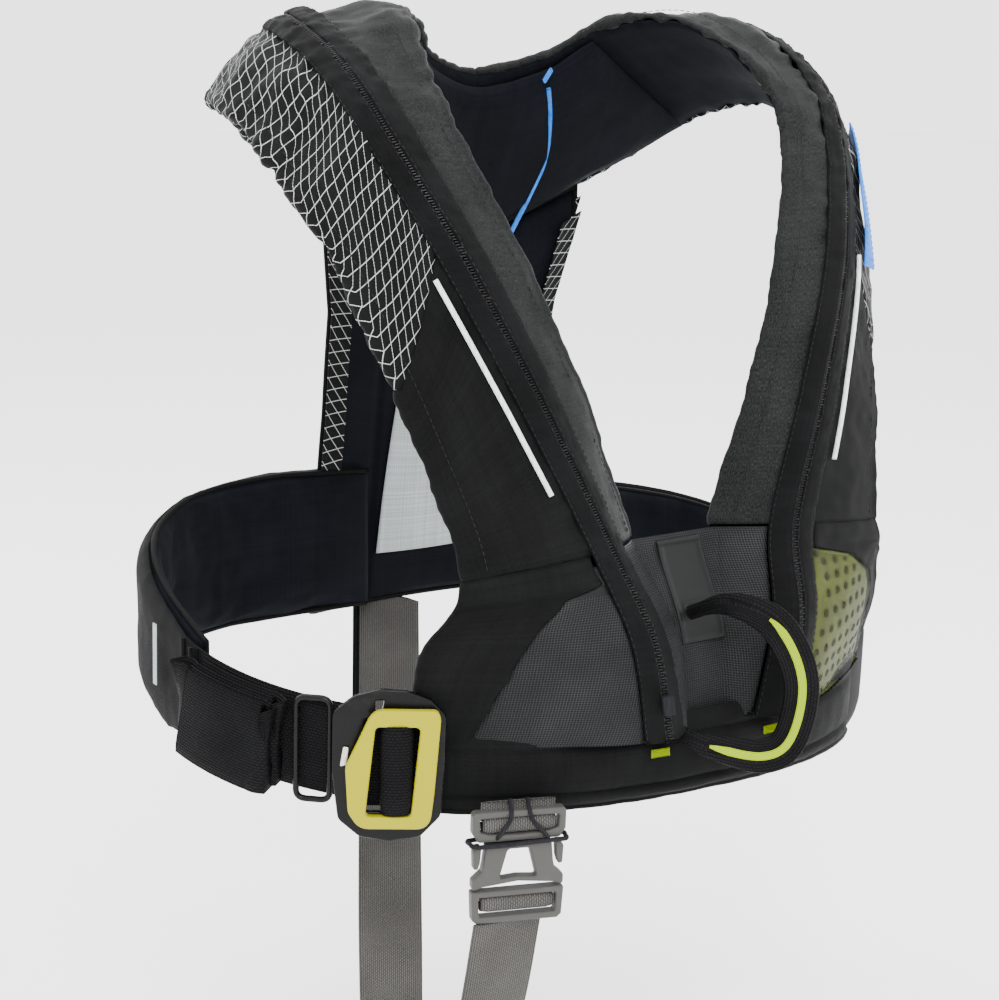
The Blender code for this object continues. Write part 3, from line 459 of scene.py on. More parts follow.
def hard_material(name, colour, rubbed, roughness, metallic=0.0, coat=0.0, grain=0.02 * MM, wear_and_edge_highlight=0.5,
                  spots=120.0, shine=0.12):
    """Paint, moulded plastic or metal with rubbed spots, hair scratches, fine grain and a painted highlight
    along convex edges.
    """
    made, tree, shader = start_material(name, roughness, Metallic=metallic, Coat_Weight=coat,
                                        Coat_Roughness=0.15, Specular_IOR_Level=shine)
    vector = coordinates(tree, False)
    wear = place_group(tree, WEAR, Vector=vector, Spots=spots)
    geometry = node(tree, "ShaderNodeNewGeometry").outputs["Pointiness"]
    # painted highlight: convex edges, found by pointiness, are lightened towards the second colour
    edge = calc(tree, "MULTIPLY", ramp(tree, geometry, 0.53, 0.62), wear_and_edge_highlight)
    share = calc(tree, "MAXIMUM", edge, calc(tree, "MULTIPLY", wear["Rub"], wear_and_edge_highlight * 0.35))
    share = calc(tree, "MAXIMUM", share, calc(tree, "MULTIPLY", wear["Scratch"], wear_and_edge_highlight * 0.5))
    # the second colour is both the rubbed wear of spots and scratches and the painted edge highlight
    feed(tree, blend_colour(tree, share, (*colour, 1), (*rubbed, 1)), shader.inputs["Base Color"])
    rough = calc(tree, "MULTIPLY_ADD", wear["Rub"], 0.18, roughness - 0.04)
    feed(tree, calc(tree, "MULTIPLY_ADD", wear["Scratch"], 0.15, rough), shader.inputs["Roughness"])
    bump(tree, shader, calc(tree, "MULTIPLY_ADD", wear["Scratch"], -0.8, wear["Height"]), grain)
    return made


def window_material():
    made, tree, shader = start_material("clear film", 0.16, Coat_Weight=0.12, Alpha=0.05)
    vector = coordinates(tree, True)
    cloud = noise_value(tree, vector, 60.0, 4.0)
    feed(tree, blend_colour(tree, cloud, (0.03, 0.04, 0.006, 1), (0.13, 0.15, 0.05, 1)),
         shader.inputs["Base Color"])
    feed(tree, ramp(tree, cloud, -0.2, 4.0), shader.inputs["Roughness"])
    bump(tree, shader, noise_value(tree, vector, 140.0, 2.0), 0.6 * MM)
    return made


FINE = (0.55 * MM, 0.55 * MM)
MATERIALS = {
    "lining": cloth_material("dark lining", (0.0022, 0.0027, 0.0042), (0.0065, 0.0075, 0.011), 0.85,
                             (0.9 * MM, 0.9 * MM), mottle=0.5, sheen=0.35),
    "bladder": cloth_material("coated bladder cloth", (0.5, 0.42, 0.01), (0.62, 0.55, 0.05), 0.35, FINE),
    "ripstop": cloth_material("heathered ripstop", (0.004, 0.0043, 0.0044), (0.026, 0.0275, 0.0275), 0.5,
                              FINE, mottle=0.3, heather=0.5, sheen=0.5,
                              lines=(4.2 * MM, 4.2 * MM, 0.35 * MM, 0.0, 1 * MM, 0.0),
                              line_colour=(0.013, 0.0137, 0.0137)),
    "cover": cloth_material("black cover cloth", (0.0028, 0.0029, 0.003), (0.009, 0.0093, 0.0096), 0.72,
                            FINE, mottle=0.5, heather=0.18, sheen=0.3),
    "tape": cloth_material("black tape", (0.0022, 0.0023, 0.0025), (0.008, 0.0083, 0.0088), 0.6,
                           (1.2 * MM, 0.7 * MM), mottle=0.5, sheen=0.25, depth=0.2 * MM),
    "grid": cloth_material("white grid cloth", (0.0038, 0.004, 0.004), (0.013, 0.0135, 0.0135), 0.6, FINE,
                           mottle=0.45, sheen=0.35,
                           lines=(6.8 * MM, 6.8 * MM, 0.4 * MM, 0.3, 1.15 * MM, -0.42),
                           line_colour=(0.5, 0.52, 0.51)),
    "net": net_material("embossed net", (0.012, 0.0125, 0.013), (0.03, 0.031, 0.031)),
    "film": window_material(),
    "window_fabric": cloth_material("olive window cloth", (0.02, 0.027, 0.0004), (0.06, 0.074, 0.001), 0.5,
                                    FINE, mottle=0.8, heather=0.3),
    # painted shade: the window cloth's holes are dark discs standing in for the shade inside them
    "hole": cloth_material("painted shade of window holes", (0.004, 0.005, 0.0003), (0.008, 0.01, 0.001), 0.9, FINE),
    # each hard material's second colour is its rubbed wear and also its painted highlight on convex edges
    "rubber": hard_material("rubber patch", (0.0045, 0.005, 0.005), (0.016, 0.017, 0.017), 0.5,
                            grain=0.05 * MM, wear_and_edge_highlight=0.4),
    "yellow_thread": webbing_material("yellow thread", (0.3, 0.42, 0.0), (0.35, 0.48, 0.002), 0.8 * MM,
                                      0.5 * MM, depth=0.15 * MM),
    "black_thread": cloth_material("black thread", (0.012, 0.012, 0.013), (0.03, 0.03, 0.032), 0.55, FINE,
                                   from_uv=False),
    "reflective": cloth_material("reflective cloth", (0.3, 0.33, 0.335), (0.42, 0.45, 0.455), 0.42,
                                 (0.4 * MM, 0.4 * MM), mottle=0.6, sheen=0.1, depth=0.05 * MM),
    "white_piping": cloth_material("white reflective piping", (0.7, 0.72, 0.72), (0.85, 0.86, 0.86), 0.4,
                                   (0.5 * MM, 0.5 * MM), from_uv=False),
    "blue": cloth_material("blue cloth", (0.015, 0.14, 0.55), (0.05, 0.22, 0.66), 0.5,
                           (0.45 * MM, 0.45 * MM), mottle=0.4, heather=0.1, from_uv=False),
    "webbing_black": webbing_material("black webbing", (0.0028, 0.0028, 0.0032), (0.011, 0.011, 0.012)),
    "webbing_grey": webbing_material("grey webbing", (0.055, 0.053, 0.049), (0.115, 0.112, 0.105), 1.2 * MM,
                                     1.6 * MM),
    "black_metal": hard_material("black coated steel", (0.003, 0.003, 0.0033), (0.03, 0.03, 0.03), 0.3, 0.0,
                                 0.0),
    "yellow_paint": hard_material("yellow coated steel", (0.3, 0.275, 0.0), (0.36, 0.34, 0.002), 0.4, 0.0,
                                  0.0, 0.03 * MM, 0.35),
    "grey_plastic": hard_material("grey moulded plastic", (0.05, 0.049, 0.046), (0.11, 0.108, 0.102), 0.5,
                                  0.0, 0.05, 0.06 * MM, 0.4),
    "yellow_plastic": hard_material("yellow moulded plastic", (0.68, 0.6, 0.02), (0.8, 0.75, 0.2), 0.42),
    "black_plastic": hard_material("black moulded plastic", (0.011, 0.011, 0.012), (0.05, 0.05, 0.05),
                                   0.42),
    "steel": hard_material("brushed steel", (0.5, 0.5, 0.48), (0.7, 0.7, 0.68), 0.3, 1.0),
    "elastic": cloth_material("black elastic cord", (0.009, 0.009, 0.011), (0.03, 0.03, 0.034), 0.6,
                              (0.9 * MM, 0.9 * MM), from_uv=False, depth=0.25 * MM),
}


# ------------------------------------------------------------ building cloth and straps

def add_mesh(name, vertices, faces, material, uv=None, smooth=True):
    mesh = bpy.data.meshes.new(name)
    mesh.from_pydata([tuple(map(float, v)) for v in vertices], [], faces)
    mesh.validate()
    if uv is not None:
        layer = mesh.uv_layers.new(name="cloth")
        for loop in mesh.loops:
            layer.data[loop.index].uv = uv[loop.vertex_index]
    mesh.polygons.foreach_set("use_smooth", [smooth] * len(mesh.polygons))
    mesh.materials.append(MATERIALS[material])
    made = bpy.data.objects.new(name, mesh)
    bpy.context.scene.collection.objects.link(made)
    return made


def grid_uv(grid):
    """Lengths across and along a grid of points, in metres."""
    grid = np.array(grid)
    across = np.linalg.norm(np.diff(grid, axis=1), axis=2)
    across = np.concatenate((np.zeros((len(grid), 1)), np.cumsum(across, axis=1)), axis=1)
    across -= across[:, -1:] / 2
    middle = grid[:, grid.shape[1] // 2]
    along = np.concatenate(([0], np.cumsum(np.linalg.norm(np.diff(middle, axis=0), axis=1))))
    return np.stack((across, np.repeat(along[:, None], grid.shape[1], axis=1)), axis=2)


def grid_faces(rows, columns, flip=False, closed=False):
    faces = []
    for i in range(rows - 1):
        for j in range(columns if closed else columns - 1):
            k = (j + 1) % columns
            face = (i * columns + j, i * columns + k, (i + 1) * columns + k, (i + 1) * columns + j)
            faces.append(face[::-1] if flip else face)
    return faces


def sheet_piece(name, grid, material, thickness, flip=False, uv=None):
    """A sheet of cloth through a grid of points, its thickness on the body side."""
    grid = np.array(grid)
    rows, columns = grid.shape[:2]
    uv = grid_uv(grid) if uv is None else uv
    made = add_mesh(name, grid.reshape(-1, 3), grid_faces(rows, columns, flip), material, uv.reshape(-1, 2))
    solid = made.modifiers.new("thickness", "SOLIDIFY")
    solid.thickness = thickness
    solid.offset = -1
    return made


def finish_piece(made, body, slot, *nodes):
    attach(made, body)
    if nodes:
        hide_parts(*nodes)
    return made


def grid_normals(grid, flip):
    along = np.gradient(grid, axis=0)
    across = np.gradient(grid, axis=1)
    normals = np.cross(across, along) * (-1 if flip else 1)
    return normals / np.maximum(np.linalg.norm(normals, axis=2, keepdims=True), 1e-9)


def ruffled(grid, flip, broad=1.2 * MM, fine=0.35 * MM, pucker=0.9 * MM, seam=0.9 * MM, seed=0.0, gather=None,
            ends=True, stretch=(1, 1, 1)):
    """The grid with creases, puckers that fade away from its seams, and seams drawn in.

    gather is a function of the row's share that multiplies the puckers."""
    grid = np.array(grid, float)
    normals = grid_normals(grid, flip)
    uv = grid_uv(grid)
    rows, columns = grid.shape[:2]
    lift = np.zeros((rows, columns))
    width = uv[:, -1, 0] - uv[:, 0, 0]
    length = uv[-1, 0, 1]
    for i in range(rows):
        extra = gather(i / (rows - 1)) if gather else 1.0
        for j in range(columns):
            x, y = uv[i, j]
            side = width[i] / 2 - abs(x)
            near = side if not ends else min(side, y, length - y)
            p = Vector(grid[i, j] * np.array(stretch))
            away = 1 - math.exp(-max(near, 0) / (9 * MM))
            lift[i, j] = broad * extra * away * noise.noise(p * 34 + Vector((seed, 0, 3)))
            lift[i, j] += fine * extra * noise.noise(p * 120 + Vector((0, seed, 7)))
            ripple = noise.noise(Vector((y * 150, seed + (1 if x > 0 else -1) * 5, x * 12)))
            lift[i, j] += pucker * extra * ripple * math.exp(-max(side, 0) / (8 * MM))
            lift[i, j] -= seam * math.exp(-(max(near, 0) / (1.6 * MM)) ** 2)
    return grid + normals * lift[:, :, None]


def thread_pieces(name, lines, material="black_thread", stitch=2.6 * MM, gap=1.0 * MM, radius=0.28 * MM):
    """Rows of short stitches: each line is points with the outward direction at each."""
    vertices, faces = [], []
    for points, normals in lines:
        points, normals = np.array(points), np.array(normals)
        lengths = np.concatenate(([0], np.cumsum(np.linalg.norm(np.diff(points, axis=0), axis=1))))
        start = gap
        while start + stitch < lengths[-1]:
            ring_count, around = 4, 5
            base = len(vertices)
            for r in range(ring_count):
                s = r / (ring_count - 1)
                at = start + stitch * s
                p = np.array([np.interp(at, lengths, points[:, k]) for k in range(3)])
                n = np.array([np.interp(at, lengths, normals[:, k]) for k in range(3)])
                q = np.array([np.interp(at + 0.2 * MM, lengths, points[:, k]) for k in range(3)]) - p
                n /= np.linalg.norm(n)
                q /= max(np.linalg.norm(q), 1e-9)
                b = np.cross(n, q)
                bulge = math.sin(math.pi * (0.12 + 0.76 * s))
                for a in range(around):
                    angle = 2 * math.pi * a / around
                    vertices.append(p + n * (radius * (bulge - 0.45))
                                    + (b * math.cos(angle) + n * math.sin(angle)) * radius * bulge)
            faces += [tuple(base + f for f in face) for face in grid_faces(ring_count, around, False, True)]
            faces.append(tuple(base + a for a in range(around)))
            faces.append(tuple(base + (ring_count - 1) * around + a for a in reversed(range(around))))
            start += stitch + gap
    return add_mesh(name, vertices, faces, material)


def oval_tube(name, points, size, material, across=None, sides=12, caps=True):
    """A tube through points; size is (width, thickness) or one per point; across is the width's way."""
    points = np.array(points, float)
    sizes = np.broadcast_to(np.array(size, float), (len(points), 2))
    along = np.gradient(points, axis=0)
    along /= np.linalg.norm(along, axis=1, keepdims=True)
    if across is None:
        first = np.cross(along[0], (0.3, 0.2, 0.93))
        across = [first / np.linalg.norm(first)]
        for k in range(1, len(points)):
            turned = across[-1] - along[k] * np.dot(across[-1], along[k])
            across.append(turned / np.linalg.norm(turned))
        across = np.array(across)
    else:
        across = np.broadcast_to(np.array(across, float), points.shape)
        across = across - along * np.sum(across * along, axis=1, keepdims=True)
        across /= np.linalg.norm(across, axis=1, keepdims=True)
    up = np.cross(along, across)
    vertices, uv = [], []
    length = 0
    for k, point in enumerate(points):
        if k:
            length += np.linalg.norm(point - points[k - 1])
        for a in range(sides):
            angle = 2 * math.pi * a / sides
            c, s = math.cos(angle), math.sin(angle)
            flat = 0.6 if sizes[k][0] > 2 * sizes[k][1] else 1.0
            x = math.copysign(abs(c) ** flat, c) * sizes[k][0] / 2
            y = math.copysign(abs(s) ** flat, s) * sizes[k][1] / 2
            vertices.append(point + across[k] * x + up[k] * y)
            uv.append((x + (y if abs(s) > 0.99 else 0), length))
    faces = grid_faces(len(points), sides, False, True)
    if caps:
        faces.append(tuple(range(sides)))
        faces.append(tuple((len(points) - 1) * sides + a for a in reversed(range(sides))))
    return add_mesh(name, vertices, faces, material, uv)


def smooth_line(points, count):
    """Count points per span on the Catmull-Rom curve through points."""
    points = [np.array(p, float) for p in points]
    ends = [points[0], *points, points[-1]]
    line = []
    for k in range(len(points) - 1):
        a, b, c, d = ends[k:k + 4]
        for step in range(count):
            s = step / count
            line.append((2 * b + (c - a) * s + (2 * a - 5 * b + 4 * c - d) * s ** 2
                         + (3 * b - a - 3 * c + d) * s ** 3) / 2)
    return [*line, points[-1]]


def strap_piece(name, points, across, width, thickness, material, wave=0.3 * MM, seed=0.0):
    """Flat webbing with rounded selvedges: its cross-section is a thin slot shape."""
    points = np.array(points, float)
    widths = np.broadcast_to(np.array(width, float), (len(points),))
    across = np.broadcast_to(np.array(across, float), points.shape)
    along = np.gradient(points, axis=0)
    along /= np.linalg.norm(along, axis=1, keepdims=True)
    across = across - along * np.sum(across * along, axis=1, keepdims=True)
    across = across / np.linalg.norm(across, axis=1, keepdims=True)
    up = np.cross(across, along)
    profile = []
    columns = 10
    for sign in (1, -1):
        for k in range(columns + 1):
            x = sign * (1 - 2 * k / columns)
            edge = max(0, abs(x) - 0.9) / 0.1
            profile.append((x, sign * math.sqrt(max(0, 1 - edge ** 2)) if abs(x) < 1 else 0.12 * sign))
    vertices, uv, length = [], [], 0
    for k, point in enumerate(points):
        if k:
            length += np.linalg.norm(point - points[k - 1])
        for x, z in profile:
            bend = wave * noise.noise(Vector((length * 18, x * 1.5 + seed, seed)))
            vertices.append(point + across[k] * x * widths[k] / 2 + up[k] * (z * thickness / 2 + bend))
            uv.append((x * widths[k] / 2, length))
    count = len(profile)
    faces = grid_faces(len(points), count, False, True)
    faces.append(tuple(range(count)))
    faces.append(tuple((len(points) - 1) * count + a for a in reversed(range(count))))
    return add_mesh(name, vertices, faces, material, uv)


def pad_piece(name, middle, normal_way, thickness, material, rows, columns, edge=0.16, channels=(),
              channel_depth=0.4, seed=0.0, crease=0.8 * MM, both=False, ridge=2.2):
    """A stuffed pad: middle(u, v) gives points of its body side, u across and v along in 0..1.

    It is full in the middle and thins to its sewn rim; channels are shares across where it is
    quilted. normal_way is a reference point that the pad's outer side faces away from."""
    us, vs = np.linspace(0, 1, columns), np.linspace(0, 1, rows)
    grid = np.array([[middle(u, v) for u in us] for v in vs])
    normals = grid_normals(grid, False)
    centre = grid.mean(axis=(0, 1))
    if np.dot(normals.mean(axis=(0, 1)), centre - np.array(normal_way)) < 0:
        normals = -normals
        turned = True
    else:
        turned = False
    uv = grid_uv(grid)
    full = np.zeros((rows, columns))
    for i, v in enumerate(vs):
        for j, u in enumerate(us):
            rim_u = 1 - (max(0, 1 - min(u, 1 - u) / edge)) ** ridge
            rim_v = 1 - (max(0, 1 - min(v, 1 - v) / edge)) ** ridge
            rise = (max(rim_u, 0) * max(rim_v, 0)) ** 0.55
            for share in channels:
                rise *= 1 - channel_depth * math.exp(-((u - share) / 0.018) ** 2)
            full[i, j] = 0.16 + 0.84 * rise
    crumple = np.array([[noise.noise(Vector(p) * 40 + Vector((seed, 1, 2)))
                         + 0.5 * noise.noise(Vector(p) * 95 + Vector((seed, 5, 2))) for p in row]
                        for row in grid]) * crease * (full - 0.16)
    outer = grid + normals * (thickness * (0.5 + full / 2) + crumple)[:, :, None]
    inner = grid + normals * (thickness * (0.5 - full / 2) - crumple * (1 if both else 0.4))[:, :, None]
    vertices = np.concatenate((outer.reshape(-1, 3), inner.reshape(-1, 3)))
    count = rows * columns
    faces = grid_faces(rows, columns, turned)
    faces += [tuple(count + v for v in face[::-1]) for face in grid_faces(rows, columns, turned)]
    rim = [j for j in range(columns)] + [i * columns + columns - 1 for i in range(1, rows)]
    rim += [(rows - 1) * columns + j for j in range(columns - 2, -1, -1)]
    rim += [i * columns for i in range(rows - 2, 0, -1)]
    for a, b in zip(rim, rim[1:] + rim[:1]):
        face = (b, a, count + a, count + b)
        faces.append(face[::-1] if turned else face)
    double = np.concatenate((uv.reshape(-1, 2), uv.reshape(-1, 2)))
    made = add_mesh(name, vertices, faces, material, double)
    rim_line = [grid.reshape(-1, 3)[k] + normals.reshape(-1, 3)[k] * thickness / 2 for k in rim]
    return made, rim_line, (grid, normals)


# ------------------------------------------------------------ camera, floor and light

def build_studio():
    azimuth, elevation, roll = (math.radians(a) for a in (-36, 15, 2))
    distance, scale, centre_x, centre_y, across, upward = 1150, 1.87, 535, 565, -3, -283
    right = np.array((math.cos(azimuth), math.sin(azimuth), 0))
    back = np.array((math.sin(azimuth) * math.cos(elevation), -math.cos(azimuth) * math.cos(elevation),
                     math.sin(elevation)))
    up = np.cross(back, right)
    x_axis = math.cos(roll) * right + math.sin(roll) * up
    y_axis = -math.sin(roll) * right + math.cos(roll) * up
    at = (across * x_axis + upward * y_axis + distance * back) * MM
    camera = bpy.data.objects.new("camera", bpy.data.cameras.new("camera"))
    bpy.context.scene.collection.objects.link(camera)
    camera.matrix_world = Matrix([(*[float(a[k]) for a in (x_axis, y_axis, back)], float(at[k]))
                                  for k in range(3)] + [(0, 0, 0, 1)])
    camera.data.sensor_width = 36
    camera.data.lens = 36 * scale * distance / 1000
    camera.data.shift_x = -(centre_x - 499.5) / 1000
    camera.data.shift_y = (centre_y - 500) / 1000
    bpy.context.scene.camera = camera

    bpy.ops.mesh.primitive_plane_add(size=14, location=(0, 0, cad_box[0][2] - 4 * MM))
    floor = bpy.context.object
    floor.name = "studio_floor"
    pale = bpy.data.materials.new("pale floor")
    pale.use_nodes = True
    pale.node_tree.nodes["Principled BSDF"].inputs["Base Color"].default_value = (0.96, 0.96, 0.96, 1)
    pale.node_tree.nodes["Principled BSDF"].inputs["Roughness"].default_value = 0.9
    floor.data.materials.append(pale)

    world = bpy.data.worlds.new("studio")
    world.use_nodes = True
    world.node_tree.nodes["Background"].inputs["Color"].default_value = (1, 1, 1, 1)
    world.node_tree.nodes["Background"].inputs["Strength"].default_value = 2.9
    bpy.context.scene.world = world
    middle = Vector((0, -0.05, -0.25))
    for name, spot, size, power in (("key light", (-0.9, -1.5, 1.1), 0.8, 34),
                                    ("fill light", (1.6, -0.9, 0.3), 0.9, 16),
                                    ("top light", (0.1, 0.4, 1.5), 1.0, 26),
                                    ("back light", (-0.6, 1.5, 0.6), 0.9, 12)):
        light = bpy.data.lights.new(name, "AREA")
        light.size, light.energy = size, power
        lamp = bpy.data.objects.new(name, light)
        bpy.context.scene.collection.objects.link(lamp)
        lamp.location = spot
        lamp.rotation_euler = (middle - Vector(spot)).to_track_quat("-Z", "Y").to_euler()


# ------------------------------------------------------------ covers of the horseshoe

ROLL = ROLLED_EDGE / 2
CREASE_ROWS = 2.6 * MM
TUCK = -0.1  # how far below its first station the cloth is tucked behind the lower band


def wrapped(side, t, end, angle, lift=0.0):
    """A point on the rolled edge: angle 0 is the liner side, 180 the cover side."""
    neck, across, normal = edges(t)
    way = across / np.linalg.norm(across) * (-1 if end == 0 else 1)
    a = math.radians(angle - 90)
    point = (neck + across * end + normal * ROLL + way * (ROLL + lift) * math.cos(a)
             + normal * (ROLL + lift) * math.sin(a))
    return point * np.array((side, 1, 1))


def cover_grid(side, start, end, low, high, columns, lift=0.0, rows=None, wrap=None, slant=(0.0, 0.0)):
    """Rows of points on the cover between two shares of its width, rolled over an edge by wrap.

    slant is how far the first and last rows run on at the arm edge, in stations."""
    count = rows or max(int((end - start) * 95 * MM / CREASE_ROWS), 6)
    grid = []
    for whole in np.linspace(0, 1, count):
        row = []
        for part in np.linspace(0, 1, columns):
            t = float(start + slant[0] * part + (end - start + (slant[1] - slant[0]) * part) * whole)
            v = float(low(t) + (high(t) - low(t)) * part)
            row.append(horseshoe(side, t, v, cover_height(t, v) + lift))
        t_neck = float(start + (end - start) * whole)
        if wrap == "neck":
            row = [wrapped(side, t_neck, 0, angle, lift) for angle in (4, 30, 60, 90, 120, 150)] + row
        if wrap == "arm":
            row = row + [wrapped(side, t, 1, angle, lift) for angle in (150, 120, 90, 60, 30, 4)]
        grid.append(row)
    return grid


def shoulder_gather(start, end, top=6.0, reach=1.6, strength=2.2):
    """Puckers grow where the cover is gathered over the shoulder."""
    def at(share):
        t = start + (end - start) * share
        return 1 + strength * math.exp(-((t - top) / reach) ** 2)
    return at


def build_covers():
    almost = SPINE + 0.002
    for side, word in ((RIGHT, "right"), (LEFT, "left")):
        flip = side == RIGHT
        seed = 2.0 * side
        neck = cover_grid(side, 2.0, almost, fixed(0), band_edge(-1, -3.5 * MM), 16, wrap="neck")
        neck = ruffled(neck, flip, 2.5 * MM, 0.45 * MM, 1.3 * MM, 1.0 * MM, seed,
                       shoulder_gather(2.0, almost))
        piece = sheet_piece("neck_side_cover_" + word, neck, "ripstop", 0.9 * MM, flip)
        finish_piece(piece, "jacket", "ripstop", "cover_neck_side_" + word)

        change = 4.05
        for name, start, end, material, slot, nodes, slant in (
                ("shoulder_cover_", change, almost, "grid", "ripstop", (), (-0.75, 0.0)),
                ("chest_cover_", 2.0, change, "cover", "cover", ("cover_arm_side_" + word,), (0.0, -0.75))):
            arm = cover_grid(side, start, end, band_edge(1, -3.5 * MM), fixed(1), 20, wrap="arm", slant=slant)
            arm = ruffled(arm, flip, 3.0 * MM, 0.55 * MM, 1.4 * MM, 1.0 * MM, seed + 1,
                          shoulder_gather(start, end))
            piece = sheet_piece(name + word, arm, material, 0.9 * MM, flip)
            finish_piece(piece, "jacket", slot, *nodes)

        def split(t, side=side):
            """The seam between the lower corner and the net or window runs out to the zip band."""
            shares = (0.84, 0.66, 0.58, 0.0) if side == RIGHT else (0.98, 0.86, 0.72, 0.0)
            edge = band_edge(1, 1 * MM)(t)
            return max(float(np.interp(t, (0.0, 1.25, 1.6, 1.96), shares)), edge)
        corner = cover_grid(side, TUCK, 2.0, split, fixed(1), 26, wrap="arm")
        corner = ruffled(corner, flip, 3.6 * MM, 0.6 * MM, 1.0 * MM, 0.9 * MM, seed + 2)
        piece = sheet_piece("lower_corner_" + word, corner, "cover", 0.9 * MM, flip)
        finish_piece(piece, "jacket", "cover", "cover_lower_" + word)

        low = cover_grid(side, TUCK, 1.9, band_edge(1, -1 * MM), lambda t: split(t) + 0.004, 24)
        if side == RIGHT:
            low = ruffled(low, flip, 0.8 * MM, 0.15 * MM, 0.4 * MM, 0.9 * MM, seed + 3)
            piece = sheet_piece("lower_net_right", low, "net", 0.9 * MM, flip)
            finish_piece(piece, "jacket", "net", "net_panel_right")
        else:
            low = ruffled(low, flip, 1.2 * MM, 0.2 * MM, 0.4 * MM, 0.9 * MM, seed + 3)
            piece = sheet_piece("window_cover", low, "film", 0.5 * MM, flip)
            finish_piece(piece, "jacket", "film", "window_film")
            build_window_inside(low, flip)


def build_window_inside(low, flip):
    normals = grid_normals(np.array(low), flip)
    inner = np.array(low) - normals * 1.6 * MM
    piece = sheet_piece("window_lining", inner, "window_fabric", 0.8 * MM, flip)
    finish_piece(piece, "jacket", "window_fabric", "window_backing")
    columns = inner.shape[1]
    vertices, faces = [], []
    uv = grid_uv(inner)
    pitch, radius, margin, reach, corners = 11 * MM, 2.0 * MM, 5 * MM, 60 * MM, 14
    line = 0
    y = 6 * MM
    while y < uv[-1, 0, 1] - 4 * MM:
        x = -reach + (pitch / 2 if line % 2 else 0)
        while x < reach:
            i = int(np.searchsorted(uv[:, 0, 1], y))
            half = uv[i, -1, 0]
            if abs(x) < half - margin:
                j = float(np.interp(x, uv[i, :, 0], np.arange(columns)))
                a, s = int(j), j - int(j)
                p = inner[i, a] * (1 - s) + inner[i, min(a + 1, columns - 1)] * s
                n = normals[i, a]
                b = np.cross(n, (0.2, 0.3, 0.9))
                b /= np.linalg.norm(b)
                c = np.cross(n, b)
                base = len(vertices)
                vertices.append(p + n * 0.12 * MM)
                for ring_radius, depth in ((0.7, 0.2), (1.0, 0.55), (1.18, 0.05)):
                    for k in range(corners):
                        angle = 2 * math.pi * k / corners
                        vertices.append(p + n * depth * MM
                                        + (b * math.cos(angle) + c * math.sin(angle)) * radius
                                        * ring_radius)
                faces += [(base, base + 1 + k, base + 1 + (k + 1) % corners) for k in range(corners)]
                for ring_at in (1, 1 + corners):
                    faces += [(base + ring_at + k, base + ring_at + corners + k,
                               base + ring_at + corners + (k + 1) % corners,
                               base + ring_at + (k + 1) % corners) for k in range(corners)]
            x += pitch
        y += pitch * 0.86
        line += 1
    # painted shade: each hole is a dark disc standing in for the shade seen through it
    holes = add_mesh("window_hole_shade_discs", vertices, faces, "hole")
    finish_piece(holes, "jacket", "window_fabric")


def build_zip_bands():
    """Two tapes with stitched edges, a flap that half hides the zip, and its coil."""
    almost = SPINE + 0.002
    for side, word in ((RIGHT, "right"), (LEFT, "left")):
        flip = side == RIGHT
        groove = 1.1 * MM
        for name, low, high, lift in (("neck", band_edge(-1), lambda t: zip_share(t) - groove / width_at(t),
                                       2.4 * MM), ("arm", lambda t: zip_share(t) + groove / width_at(t),
                                                   band_edge(1), 1.6 * MM)):
            grid = cover_grid(side, TUCK, almost, low, high, 12, lift)
            grid = ruffled(grid, flip, 0.7 * MM, 0.25 * MM, 0.8 * MM, 0.9 * MM, side * 3,
                           shoulder_gather(0.02, almost), ends=False)
            piece = sheet_piece(f"zip_tape_{name}_{word}", grid, "tape", 1.3 * MM, flip)
            finish_piece(piece, "jacket", "cover", *(("zip_band_" + word,) if name == "neck" else ()))
            rows = np.array(grid)
            normals = grid_normals(rows, flip)
            lines = [(rows[:, column], normals[:, column]) for column in (1, 10)]
            stitches = thread_pieces(f"tape_stitches_{name}_{word}", lines)
            finish_piece(stitches, "jacket", "cover")
        backing = cover_grid(side, 0.02, almost, lambda t: zip_share(t) - 4 * MM / width_at(t),
                             lambda t: zip_share(t) + 4 * MM / width_at(t), 4, -1.6 * MM)
        finish_piece(sheet_piece("zip_backing_" + word, backing, "tape", 0.8 * MM, flip), "jacket", "cover")
        build_zip_coil(side, word, almost)


def build_zip_coil(side, word, almost):
    vertices, faces = [], []
    centre, ways = [], []
    for t in np.linspace(0.05, almost, 700):
        t = float(t)
        v = zip_share(t)
        _, across, normal = edges(t)
        centre.append(horseshoe(side, t, v, cover_height(t, v) + 0.2 * MM))
        ways.append(np.concatenate((across / np.linalg.norm(across) * np.array((side, 1, 1)),
                                    normal * np.array((side, 1, 1)))))
    centre, ways = np.array(centre), np.array(ways)
    lengths = np.concatenate(([0], np.cumsum(np.linalg.norm(np.diff(centre, axis=0), axis=1))))
    pitch = 1.5 * MM
    size = np.array((1.7, 0.45, 0.55)) * MM
    for k in range(int(lengths[-1] / pitch)):
        at = [np.interp(k * pitch, lengths, centre[:, c]) for c in range(3)]
        way = np.array([np.interp(k * pitch, lengths, ways[:, c]) for c in range(6)])
        across, normal = way[:3], way[3:]
        along = np.cross(across, normal)
        offset = (0.55 if k % 2 else -0.55) * MM
        base = len(vertices)
        for x, y, z in ((-1, -1, -1), (1, -1, -1), (1, 1, -1), (-1, 1, -1), (-0.8, -0.6, 1), (0.8, -0.6, 1),
                        (0.8, 0.6, 1), (-0.8, 0.6, 1)):
            vertices.append(np.array(at) + across * (x * size[0] + offset) + along * y * size[1]
                            + normal * z * size[2])
        faces += [tuple(base + f for f in face) for face in
                  ((0, 3, 2, 1), (4, 5, 6, 7), (0, 1, 5, 4), (1, 2, 6, 5), (2, 3, 7, 6), (3, 0, 4, 7))]
    coil = add_mesh("zip_coil_" + word, vertices, faces, "black_plastic", smooth=False)
    finish_piece(coil, "jacket", "black_plastic")


